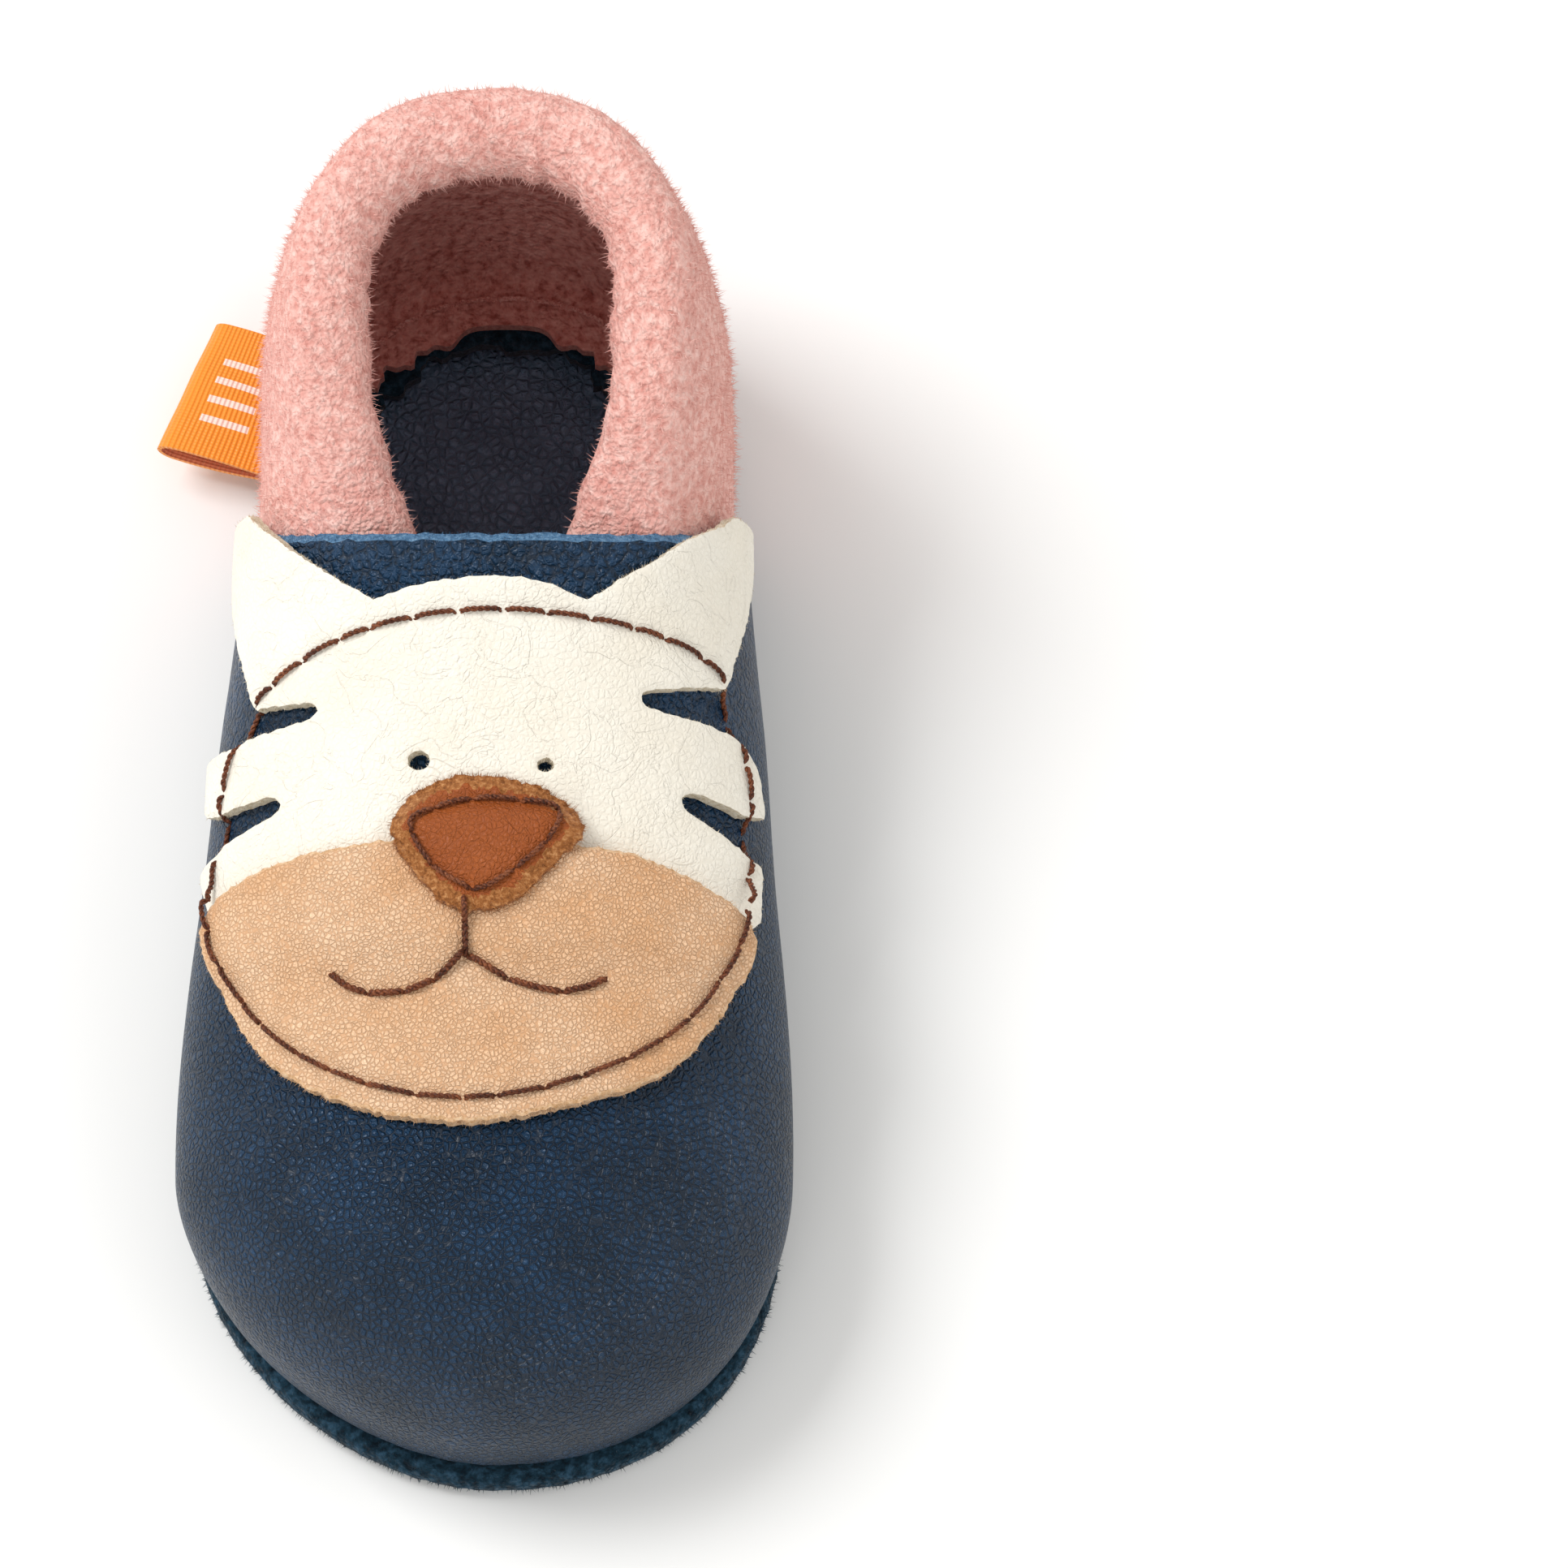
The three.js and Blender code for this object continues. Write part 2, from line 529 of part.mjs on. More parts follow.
/** A round thread through points, ExtrudeGeometry along a curve. */
function thread(points, stepSize, radius = THREAD, sides = 6) {
  const curve = new THREE.CatmullRomCurve3(points, false, "centripetal");
  const ring = spread(0, 2 * Math.PI, sides).slice(0, -1);
  const shape = new THREE.Shape(ring.map((t) => new THREE.Vector2(radius * Math.cos(t), radius * Math.sin(t))));
  const steps = Math.max(2, Math.round(curve.getLength() / stepSize));
  const tube = new THREE.ExtrudeGeometry(shape, { extrudePath: curve, steps, curveSegments: 1, bevelEnabled: false });
  const merged = mergeVertices(tube.deleteAttribute("normal").deleteAttribute("uv"), 1e-3);
  return merged;
}
const ABOVE = GAP + THREAD + 0.05;
const laidThread = (points, over, steps, stepSize) =>
  thread(spline(points, steps).map((p) => onForm(p.x, p.y, over(p.x, p.y) + ABOVE)), stepSize);

const faceThread = () => laidThread([
  [25.7, -12.6], [27.9, -6], [27.7, 0], [26.6, 5.6], [24.9, 9.6], [21.7, 11.2], [15.9, 12.2], [6.4, 12.9],
  [0, 13.1], [-6.6, 12.7], [-12.4, 11.9], [-17.4, 10.7], [-22.3, 8.8], [-25.6, 6.9], [-28, 3.4], [-29.7, -2],
  [-29.7, -8], [-28.5, -13.4], [-26.6, -19.5], [-23.7, -24.4], [-19, -29], [-13.9, -32], [-8.8, -33.8],
  [-3.2, -34.6], [3.1, -34.1], [9, -32.3], [14.8, -29.4], [19.1, -26], [22, -22.3], [24, -18], [25.3, -13.6],
], (a, y) => (y > -12.3 ? FACE_OUT + (muzzleOver(0, 0) - FACE_OUT) * smooth((-9.8 - y) / 2.5) : muzzleOver(a, y)), 90, 2.2);
const noseThread = () => laidThread([
  [-1.6, -14.9], [-4.5, -13.1], [-6.4, -10.6], [-7.1, -7.9], [-4.4, -6.2], [-0.9, -5.4], [2.9, -5.6], [6.3, -6.3],
  [6.5, -7.8], [4.9, -10.6], [2.3, -13], [-0.2, -14.7],
], noseOver, 40, 1.3);
const mouthHeight = (a, y) => THREE.MathUtils.lerp(muzzleOver(a, y), noseOver(a, y), smooth((y + 18.8) / 1.5));
const mouthThread = () => laidThread([
  [-15.4, -21.6], [-13.5, -23.2], [-10.6, -24], [-7, -23.6], [-4.4, -22.2], [-2.9, -20.4], [-2.8, -17.6],
  [-2.7, -16.3], [-2.2, -15.8], [-1.7, -16.3], [-1.6, -17.6], [-1.3, -20.6], [2.3, -22.9], [6.4, -23.9],
  [9.5, -23.4], [11.5, -22.3],
], mouthHeight, 56, 0.9);

// Sole seam stitches, seen inside on the turned-in edges
function seamThread() {
  const points = [...slices(-1, null, null, 8, 7).slice(1).reverse(), ...slices(1, null, null, 8, 7)].map((s) => {
    const over = s.y < 0 ? SEAM_Z - VAMP_IN : SEAM_Z - QUARTER_OUT + LEATHER;
    const ease = smooth((s.y + 2) / 6);
    const z = THREE.MathUtils.lerp(SEAM_Z - VAMP_IN, SEAM_Z - QUARTER_OUT + LEATHER, ease);
    return s.place([s.seam - 2, Math.max(over, z) + ABOVE]);
  });
  points.pop();
  points[0].lerp(points[1], 0.12);
  return thread(points, 5, THREAD, 5);
}
// Casing stitches, on the inside of the folded collar
function casingThread() {
  const points = quarterSlices().map((s) => {
    const { end, low } = collar(s);
    const [tr, tz] = s.tangent(low);
    const d = LEATHER / 2 + ABOVE;
    return s.place([end[0] - tz * d - tr * 1.2, end[1] + tr * d - tz * 1.2]);
  });
  return thread(points, 4.4, THREAD, 5);
}
// A bar of stitches that holds one end of the elastic
function tack(side) {
  const s = new Section(side, shareAt(side, QUARTER_FRONT + 3));
  const { point } = collar(s);
  const [a, b, c] = [0.78, 0.7, 0.62].map((t) => point(t));
  const away = LEATHER / 2 + GAP + THREAD + 0.2;
  const points = [a, b, c].map(([r, z]) => s.place([r - away, z - away * 0.35]));
  return thread(points, 1.4, THREAD, 6);
}

// Tag: a ribbon folded into a loop; its ends stay in the seam
function tagFrame() {
  const s = new Section(-1, shareAt(-1, TAG.y));
  const before = rim(-1, shareAt(-1, TAG.y - 3));
  const after = rim(-1, shareAt(-1, TAG.y + 3));
  const run = after.sub(before).normalize();
  const out = new THREE.Vector2(-run.y, run.x);
  const root = s.spine.clone().addScaledVector(s.out, s.seam + TAG.seam);
  const z = (SOLE_EDGE + SEAM_Z - QUARTER_OUT) / 2;
  return (l, w, h) => V(root.x + out.x * l + run.x * w, root.y + out.y * l + run.y * w, z + h + Math.max(l, 0) * TAG.rise);
}
function ribbon(path, width) {
  const at = tagFrame();
  const rows = spread(-width / 2, width / 2, 4).map((w) => {
    const row = { outer: [], inner: [] };
    path.forEach(([l, h], k) => {
      const [l0, h0] = path[Math.max(k - 1, 0)];
      const [l1, h1] = path[Math.min(k + 1, path.length - 1)];
      const size = Math.hypot(l1 - l0, h1 - h0);
      const [nl, nh] = [(h1 - h0) / size, -(l1 - l0) / size];
      row.outer.push(at(l + (nl * RIBBON) / 2, w, h + (nh * RIBBON) / 2));
      row.inner.push(at(l - (nl * RIBBON) / 2, w, h - (nh * RIBBON) / 2));
    });
    return row;
  });
  return skin(rows);
}
function tagLoop() {
  const rest = (RIBBON + GAP) / 2;
  const belly = (l) => rest + (TAG.belly - rest) * Math.sin(Math.PI * Math.min(l / (TAG.length - 1.5), 1) * 0.62);
  const path = [];
  for (const l of spread(0, TAG.length - 1.5, 5)) path.push([l, -belly(l)]);
  const bend = belly(TAG.length - 1.5);
  for (const t of spread(-Math.PI / 2, Math.PI / 2, 5).slice(1, -1)) {
    path.push([TAG.length - 1.5 + 1.3 * Math.cos(t), bend * Math.sin(t)]);
  }
  for (const l of spread(TAG.length - 1.5, 0, 5)) path.push([l, belly(l)]);
  return ribbon(path, TAG.width);
}
function tagRoot() {
  const rest = (RIBBON + GAP) / 2;
  const rows = [[-TAG.slack, -rest], [-2.6, -rest], [-5, -rest]];
  const back = [[-5.4, 0], [-5, rest], [-2.6, rest], [-TAG.slack, rest]];
  return ribbon([...rows, ...back], TAG.width);
}

const root = new THREE.Group();
root.name = "baby_bootie";
function add(name, geometry, color, roughness) {
  const clean = geometry.clone();
  clean.computeVertexNormals();
  const material = new THREE.MeshStandardMaterial({ color, roughness, metalness: 0, side: THREE.FrontSide });
  const mesh = new THREE.Mesh(clean, material);
  mesh.name = name;
  root.add(mesh);
}

const NAVY = "#2a3f51";
const PINK = "#f1c1b6";
const WHITE = "#f2ebdd";
const TAN = "#e8bb90";
const BROWN = "#a85928";
const STITCH = "#6b3a1e";
const ORANGE = "#fd9923";
const ELASTIC_WHITE = "#e9e6df";

add("sole", soleGeometry(), NAVY, 0.9);
add("vamp", vampGeometry(), NAVY, 0.55);
add("heel_quarter", skin(quarterSlices().map(quarterRow)), PINK, 0.95);
add("collar_elastic", skin(quarterSlices().slice(2, -2).map(elasticRow)), ELASTIC_WHITE, 0.8);
add("face", faceGeometry(), WHITE, 0.6);
add("ear_left", laid(earLeft(), [], () => FACE_IN, () => FACE_OUT), WHITE, 0.6);
add("ear_right", laid(earRight(), [], () => FACE_IN, () => FACE_OUT), WHITE, 0.6);
add("muzzle", muzzleGeometry(), TAN, 0.65);
add("nose", noseGeometry(), BROWN, 0.6);
add("face_thread", faceThread(), STITCH, 0.7);
add("nose_thread", noseThread(), STITCH, 0.7);
add("mouth_thread", mouthThread(), STITCH, 0.7);
add("sole_seam_thread", seamThread(), STITCH, 0.7);
add("casing_thread", casingThread(), PINK, 0.7);
add("elastic_tack_left", tack(-1), PINK, 0.7);
add("elastic_tack_right", tack(1), PINK, 0.7);
add("tag_loop", tagLoop(), ORANGE, 0.5);
add("tag_root", tagRoot(), ORANGE, 0.5);

export default root;
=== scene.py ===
"""A soft leather crawling bootie: navy grained vamp, pink suede heel and collar, leather animal face."""

import logging
import math
from collections.abc import Callable, Iterator, Sequence
from dataclasses import dataclass, field
from enum import Enum

import bpy
import numpy as np
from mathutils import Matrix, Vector, geometry


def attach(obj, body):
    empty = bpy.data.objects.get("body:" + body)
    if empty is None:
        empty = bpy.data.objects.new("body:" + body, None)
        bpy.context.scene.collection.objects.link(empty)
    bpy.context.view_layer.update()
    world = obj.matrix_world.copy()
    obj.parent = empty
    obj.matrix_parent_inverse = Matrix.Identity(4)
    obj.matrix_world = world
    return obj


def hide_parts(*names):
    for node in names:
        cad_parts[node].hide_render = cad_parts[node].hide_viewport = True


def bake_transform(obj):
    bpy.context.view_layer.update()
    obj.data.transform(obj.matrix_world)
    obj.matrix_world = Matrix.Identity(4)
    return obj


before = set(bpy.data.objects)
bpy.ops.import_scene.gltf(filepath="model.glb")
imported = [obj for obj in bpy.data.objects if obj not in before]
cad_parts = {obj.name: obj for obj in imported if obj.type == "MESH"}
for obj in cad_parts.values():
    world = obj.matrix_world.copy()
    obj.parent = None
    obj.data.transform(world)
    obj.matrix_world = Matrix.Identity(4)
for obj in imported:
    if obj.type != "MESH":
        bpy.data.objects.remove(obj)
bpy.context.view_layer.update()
LOG = logging.getLogger("bootie")
MM = 0.001  # sizes are in millimetres, but the studio's floor and lamps are in metres
Pairs = Sequence[tuple[float, float]]
Height = Callable[[np.ndarray, np.ndarray], np.ndarray]


def linear(hex_colour: str) -> tuple[float, float, float, float]:
    """Turn an sRGB hex colour into linear RGBA.

    Args:
        hex_colour: colour such as "2a3f51".

    Returns:
        The linear red, green, blue and alpha.
    """
    parts = [int(hex_colour[i : i + 2], 16) / 255 for i in (0, 2, 4)]
    lin = [c / 12.92 if c <= 0.04045 else ((c + 0.055) / 1.055) ** 2.4 for c in parts]
    return (lin[0], lin[1], lin[2], 1.0)


def add_node(tree: bpy.types.NodeTree, kind: str, settings: dict | None = None,
             **links: object) -> bpy.types.Node:
    """Add a shader node, set its properties and sockets, and link what feeds it.

    Args:
        tree: the material's node tree.
        kind: the node's type name, without the "ShaderNode" prefix.
        settings: property values; a key that is a socket name or number sets that input.
        **links: input names (spaces as underscores, or "in0") to output sockets or values.

    Returns:
        The new node.
    """
    node = tree.nodes.new("ShaderNode" + kind)
    for key, value in (settings or {}).items():
        if isinstance(key, int) or key in node.inputs:
            node.inputs[key].default_value = value
        else:
            setattr(node, key, value)
    for key, value in links.items():
        numbered = key[:2] == "in" and key[2:].isdigit()
        socket = node.inputs[int(key[2:]) if numbered else key.replace("_", " ")]
        if isinstance(value, bpy.types.NodeSocket):
            tree.links.new(value, socket)
        else:
            socket.default_value = value
    return node


def along(pairs: Pairs, y: np.ndarray | float) -> np.ndarray:
    """Read a smooth monotone curve given as (place, value) pairs.

    Args:
        pairs: the curve's points in rising order of place.
        y: places along the foot.

    Returns:
        The curve's value at each place.
    """
    xs, vs = np.array(pairs, float).T
    h = np.diff(xs)
    s = np.diff(vs) / h
    m = np.zeros(len(xs))
    for k in range(1, len(xs) - 1):
        if s[k - 1] * s[k] > 0:
            m[k] = 2 * s[k - 1] * s[k] / (s[k - 1] + s[k])
    y = np.clip(np.asarray(y, float), xs[0], xs[-1])
    i = np.clip(np.searchsorted(xs, y, side="right") - 1, 0, len(xs) - 2)
    t = (y - xs[i]) / h[i]
    rise = (1 + 2 * t) * (1 - t) ** 2 * vs[i] + t * (1 - t) ** 2 * h[i] * m[i]
    return rise + t * t * (3 - 2 * t) * vs[i + 1] + t * t * (t - 1) * h[i] * m[i + 1]


def ease(t: np.ndarray | float) -> np.ndarray:
    """Return the smooth step of t between 0 and 1."""
    t = np.clip(t, 0, 1)
    return t * t * (3 - 2 * t)


def unit(vectors: np.ndarray) -> np.ndarray:
    """Return vectors scaled to length 1."""
    return vectors / (np.linalg.norm(vectors, axis=-1)[..., None] + 1e-9)


def ripple(p: np.ndarray, size: float, seed: float = 0.0) -> np.ndarray:
    """Return a smooth, aperiodic wave in -1..1 at points p, with features of about size millimetres."""
    q = np.asarray(p, float) * (2 * math.pi / size)
    total = np.zeros(q.shape[:-1])
    for k, (fx, fy, fz) in enumerate(((0.61, 0.47, 0.83), (-0.72, 0.55, 0.31), (0.29, -0.93, 0.44),
                                      (0.87, 0.38, -0.57))):
        f = 0.55 + 0.23 * k
        across = fx * q[..., 0] + fy * q[..., 1] + fz * q[..., 2]
        total += np.sin(f * across * 1.6 + seed * (k + 1.7) + 1.3 * k)
    return total / 4


@dataclass
class Slices:
    """Upright slices of the form, from the spine out to the sole outline; the fields broadcast together."""

    spine_y: np.ndarray
    out_x: np.ndarray
    out_y: np.ndarray
    reach: np.ndarray
    crest: np.ndarray
    wide: np.ndarray
    seam: np.ndarray
    wide_z: np.ndarray
    seam_z: float
    power: float = 2 / 2.2

    def rim_y(self) -> np.ndarray:
        """Return the place along the foot where each slice meets the sole outline."""
        return self.spine_y + self.out_y * self.reach

    def form(self, u: np.ndarray) -> tuple[np.ndarray, np.ndarray]:
        """Return distance and height: u is -1 at the sole seam, 0 at the widest, 1 at the crest."""
        c = np.clip(np.cos(u * math.pi / 2), 0, None)
        s = np.sin(u * math.pi / 2)
        below = u < 0
        r = np.where(below, self.seam + (self.wide - self.seam) * c, self.wide * c**self.power)
        up = np.where(below, 0, np.clip(s, 0, None)) ** self.power
        rise = np.where(below, (self.wide_z - self.seam_z) * s, (self.crest - self.wide_z) * up)
        return r, self.wide_z + rise

    def tangent(self, u: np.ndarray) -> tuple[np.ndarray, np.ndarray]:
        """Return the unit direction of rising u in the slice."""
        r0, z0 = self.form(np.maximum(u - 1e-3, -1))
        r1, z1 = self.form(np.minimum(u + 1e-3, 1))
        size = np.hypot(r1 - r0, z1 - z0)
        return (r1 - r0) / size, (z1 - z0) / size

    def offset(self, u: np.ndarray, d: np.ndarray | float) -> tuple[np.ndarray, np.ndarray]:
        """Return the form moved outward by d, as distance and height."""
        r, z = self.form(u)
        tr, tz = self.tangent(u)
        return r + tz * d, z - tr * d

    def place(self, r: np.ndarray, z: np.ndarray) -> np.ndarray:
        """Return points in millimetres from distance and height in the slices."""
        r, z = np.broadcast_arrays(r, z)
        return np.stack([self.out_x * r, self.spine_y + self.out_y * r, z], -1)

    def at(self, u: np.ndarray, d: np.ndarray | float) -> np.ndarray:
        """Return points of the form moved outward by d."""
        return self.place(*self.offset(u, d))


@dataclass
class Last:
    """The shoemaker's form that every leather is an offset of, in the same sizes as the solid model."""

    length: float = 134.0
    ball: tuple[float, float] = (30.6, 28.9)
    heel: tuple[float, float] = (22.4, 22.1)
    toe_end: float = -65.8  # sewing draws the toe in by about a millimetre
    toe_fan: float = -37.0
    heel_fan: float = 42.0
    toe_spine: float = -45.0
    heel_spine: float = 42.0
    toe_power: tuple[float, float] = (1.8, 2.2)
    heel_power: float = 2.2
    seam_z: float = 5.2
    throat_y: float = 21.0
    throat_height: float = 42.0
    slant: float = 0.42
    outlines: dict = field(default_factory=dict)
    tables: dict = field(default_factory=dict)

    def __post_init__(self) -> None:
        """Trace the sole outline and measure the form on both sides."""
        ends = (self.toe_end, self.length / 2)
        self.crest = ((self.toe_spine, 27), (-11, 31.5), (self.throat_y, self.throat_height), (42, 66),
                      (ends[1], 75))
        self.bulge = ((ends[0], -2.6), (-50, -1.6), (-37, -0.4), (-9, 0), (12, 1.2), (30, 1.4),
                      (ends[1], 1.4))
        self.inset = ((ends[0], 3.4), (-37, 2.4), (12, 2), (50, 1.6), (ends[1], 1.6))
        self.wide_z = ((ends[0], 9), (-37, 12), (0, 14), (42, 16), (ends[1], 16))
        for side in (-1, 1):
            self.outlines[side] = self._outline(side)
            self.tables[side] = self._measure(side)

    def _outline(self, side: int) -> tuple[np.ndarray, np.ndarray, np.ndarray]:
        """Return x, y and the length walked along half of the sole outline, toe to heel."""
        i = 0 if side < 0 else 1
        t = np.linspace(0, math.pi / 2, 500)
        c, s = np.clip(np.cos(t), 0, None), np.sin(t)
        toe, heel = 2 / self.toe_power[i], 2 / self.heel_power
        x1, y1 = self.ball[i] * s**toe, self.toe_fan - (self.toe_fan - self.toe_end) * c**toe
        w = np.linspace(0, 1, 500)[1:]
        x2 = self.heel[i] + (self.ball[i] - self.heel[i]) * (1 + np.cos(math.pi * w)) / 2
        y2 = self.toe_fan + (self.heel_fan - self.toe_fan) * w
        x3 = self.heel[i] * c[1:] ** heel
        y3 = self.heel_fan + (self.length / 2 - self.heel_fan) * s[1:] ** heel
        x, y = np.concatenate([x1, x2, x3]) * side, np.concatenate([y1, y2, y3])
        walked = np.concatenate([[0], np.cumsum(np.hypot(np.diff(x), np.diff(y)))])
        return x, y, walked

    def share_at(self, side: int, y: np.ndarray | float) -> np.ndarray:
        """Return how far round the half outline, 0 to 1, the place y is."""
        _, oy, walked = self.outlines[side]
        return np.interp(y, oy, walked) / walked[-1]

    def slices(self, side: int, share: np.ndarray) -> Slices:
        """Return the slices at shares of the half outline."""
        ox, oy, walked = self.outlines[side]
        d = np.asarray(share, float) * walked[-1]
        x, y = np.interp(d, walked, ox), np.interp(d, walked, oy)
        spine = np.clip(y, self.toe_spine, self.heel_spine)
        reach = np.hypot(x, y - spine)
        wide, seam = reach + along(self.bulge, y), reach - along(self.inset, y)
        return Slices(spine, x / reach, (y - spine) / reach, reach, along(self.crest, y), wide, seam,
                      along(self.wide_z, y), self.seam_z)

    def slices_at(self, side: int, y: np.ndarray) -> Slices:
        """Return the slices square to the foot at places y."""
        return self.slices(side, self.share_at(side, y))

    def _measure(self, side: int) -> tuple[np.ndarray, np.ndarray, np.ndarray]:
        """Return a table of u for a distance round the form from the crest, at places along the foot."""
        ys, us, arcs = np.arange(-45, 34.01, 0.5), np.linspace(1, -0.8, 500), np.arange(0, 48, 0.25)
        r, z = self.slices_at(side, ys[:, None]).offset(us[None, :], 1.6)
        walked = np.cumsum(np.hypot(np.diff(r, axis=1), np.diff(z, axis=1)), axis=1)
        walked = np.concatenate([np.zeros((len(ys), 1)), walked], axis=1)
        return ys, arcs, np.array([np.interp(arcs, row, us) for row in walked])

    def wrap(self, a: np.ndarray, y: np.ndarray, d: np.ndarray | float) -> np.ndarray:
        """Lay flat leather on the form.

        Args:
            a: distance from the crest, negative on the outer side.
            y: place along the foot.
            d: height above the form.

        Returns:
            Points in millimetres.
        """
        a, y, d = np.broadcast_arrays(np.asarray(a, float), np.asarray(y, float), np.asarray(d, float))
        out = np.zeros(a.shape + (3,))
        for side in (-1, 1):
            mask = (a < 0) if side < 0 else (a >= 0)
            if not mask.any():
                continue
            ys, arcs, table = self.tables[side]
            fi = np.clip((y[mask] - ys[0]) / 0.5, 0, len(ys) - 1.001)
            fj = np.clip(np.abs(a[mask]) / 0.25, 0, len(arcs) - 1.001)
            i, j = fi.astype(int), fj.astype(int)
            ti, tj = fi - i, fj - j
            u = (table[i, j] * (1 - ti) * (1 - tj) + table[i + 1, j] * ti * (1 - tj)
                 + table[i, j + 1] * (1 - ti) * tj + table[i + 1, j + 1] * ti * tj)
            out[mask] = self.slices_at(side, y[mask]).at(u, d[mask])
        return out


@dataclass(frozen=True)
class Layers:
    """Heights of the stacked leathers above the form."""

    leather: float = 1.2
    gap: float = 0.3
    quarter_out: float = 0.1
    vamp_in: float = 0.4
    vamp_out: float = 1.6
    face_in: float = 1.75
    face_out: float = 3.1
    over_face: float = 3.2
    muzzle_up: float = 4.85
    over_muzzle: float = 4.95


LAST = Last()
LAYER = Layers()


class Shell:
    """Gathers vertices and faces, then makes one mesh object with one or more finishes."""

    def __init__(self, name: str) -> None:
        """Start an empty piece."""
        self.name = name
        self.points: list[np.ndarray] = []
        self.marks: list[np.ndarray] = []
        self.faces: list[np.ndarray] = []
        self.finish: list[np.ndarray] = []
        self.count = 0

    def add(self, points: np.ndarray, faces: np.ndarray, finish: int = 0,
            marks: np.ndarray | None = None) -> int:
        """Add points in millimetres and faces that index them.

        Args:
            points: vertices, n by 3.
            faces: vertex numbers, one row for each face.
            finish: material number of these faces.
            marks: a vector for each point that a finish can read, such as its place on the flat ribbon.

        Returns:
            The number of the first added vertex.
        """
        start = self.count
        self.points.append(np.asarray(points, float).reshape(-1, 3))
        blank = np.zeros((len(self.points[-1]), 3))
        self.marks.append(blank if marks is None else np.asarray(marks, float).reshape(-1, 3))
        self.count += len(self.points[-1])
        if len(faces):
            self.weave(np.asarray(faces) + start, finish)
        return start

    def weave(self, faces: np.ndarray, finish: int = 0) -> None:
        """Add faces between vertices that are already there."""
        faces = np.asarray(faces, int)
        self.faces.append(faces)
        self.finish.append(np.full(len(faces), finish))

    def build(self, sharp: float = 35.0, merge: float = 0.004) -> bpy.types.Object:
        """Make the object, with doubles merged, faces out and smooth shading below an angle.

        Args:
            sharp: edges steeper than this many degrees stay crisp.
            merge: distance in millimetres under which vertices become one.

        Returns:
            The mesh object at the origin.
        """
        mesh = bpy.data.meshes.new(self.name)
        points = np.concatenate(self.points) * MM
        faces = [tuple(row) for block in self.faces for row in block.tolist()]
        mesh.from_pydata(points.tolist(), [], faces)
        mesh.polygons.foreach_set("material_index", np.concatenate(self.finish).astype(np.int32))
        lay = mesh.attributes.new("lay", "FLOAT_VECTOR", "POINT")
        lay.data.foreach_set("vector", np.concatenate(self.marks).astype(np.float32).ravel())
        mesh.update()
        piece = bpy.data.objects.new(self.name, mesh)
        bpy.context.scene.collection.objects.link(piece)
        select_only(piece)
        bpy.ops.object.mode_set(mode="EDIT")
        bpy.ops.mesh.select_all(action="SELECT")
        bpy.ops.mesh.remove_doubles(threshold=merge * MM)
        bpy.ops.mesh.dissolve_degenerate(threshold=merge * MM * 0.5)
        bpy.ops.mesh.select_all(action="SELECT")
        bpy.ops.mesh.normals_make_consistent(inside=False)
        bpy.ops.object.mode_set(mode="OBJECT")
        bpy.ops.object.shade_smooth_by_angle(angle=math.radians(sharp))
        return piece


def select_only(piece: bpy.types.Object) -> None:
    """Select one piece and make it the active one."""
    bpy.ops.object.select_all(action="DESELECT")
    piece.select_set(True)
    bpy.context.view_layer.objects.active = piece


def grid_faces(rows: int, columns: int, ring: bool = False) -> np.ndarray:
    """Return quads over a grid of vertices numbered row by row; ring joins the last row to the first."""
    j = np.arange(rows if ring else rows - 1)[:, None]
    k = np.arange(columns - 1)[None, :]
    a = j * columns + k
    b = ((j + 1) % rows) * columns + k
    return np.stack([a, b, b + 1, a + 1], -1).reshape(-1, 4)


def add_skin(shell: Shell, outer: np.ndarray, inner: np.ndarray, ring: bool = False, spine: bool = False,
             finishes: tuple[int, int, int] = (0, 1, 2)) -> None:
    """Add a thin closed leather from its two faces.

    Args:
        shell: the piece to add to.
        outer: points of the outer face, rows by columns by 3.
        inner: points of the inner face, the same shape.
        ring: the rows close on themselves.
        spine: the last column of each row is shared along the middle line, so it needs no wall.
        finishes: material numbers of the outer face, the inner face and the cut edge.
    """
    rows, columns = outer.shape[:2]
    faces = grid_faces(rows, columns, ring)
    o = shell.add(outer, faces, finishes[0])
    i = shell.add(inner, faces[:, ::-1], finishes[1])
    last = rows if ring else rows - 1
    j = np.arange(last)
    n = (j + 1) % rows
    edges = [(0, True)] if spine else [(0, True), (columns - 1, False)]
    for column, first in edges:
        a, b = o + j * columns + column, o + n * columns + column
        c, d = i + n * columns + column, i + j * columns + column
        shell.weave(np.stack([b, a, d, c] if first else [a, b, c, d], -1), finishes[2])
    if not ring:
        k = np.arange(columns - 1)
        for row in (0, rows - 1):
            a, b = o + row * columns + k, o + row * columns + k + 1
            c, d = i + row * columns + k + 1, i + row * columns + k
            shell.weave(np.stack([a, b, c, d], -1), finishes[2])


def thicken(sl: Slices, r: np.ndarray, z: np.ndarray, half: float) -> tuple[np.ndarray, np.ndarray]:
    """Give a path in one slice an even thickness and return its outer and inner points."""
    dr, dz = np.gradient(r), np.gradient(z)
    size = np.hypot(dr, dz) + 1e-9
    nr, nz = dz / size, -dr / size
    return sl.place(r + nr * half, z + nz * half), sl.place(r - nr * half, z - nz * half)


def one(sl: Slices, k: int) -> Slices:
    """Return a single slice out of several."""
    varying = ("spine_y", "out_x", "out_y", "reach", "crest", "wide", "seam", "wide_z")
    return Slices(*(getattr(sl, name)[k] for name in varying), sl.seam_z)


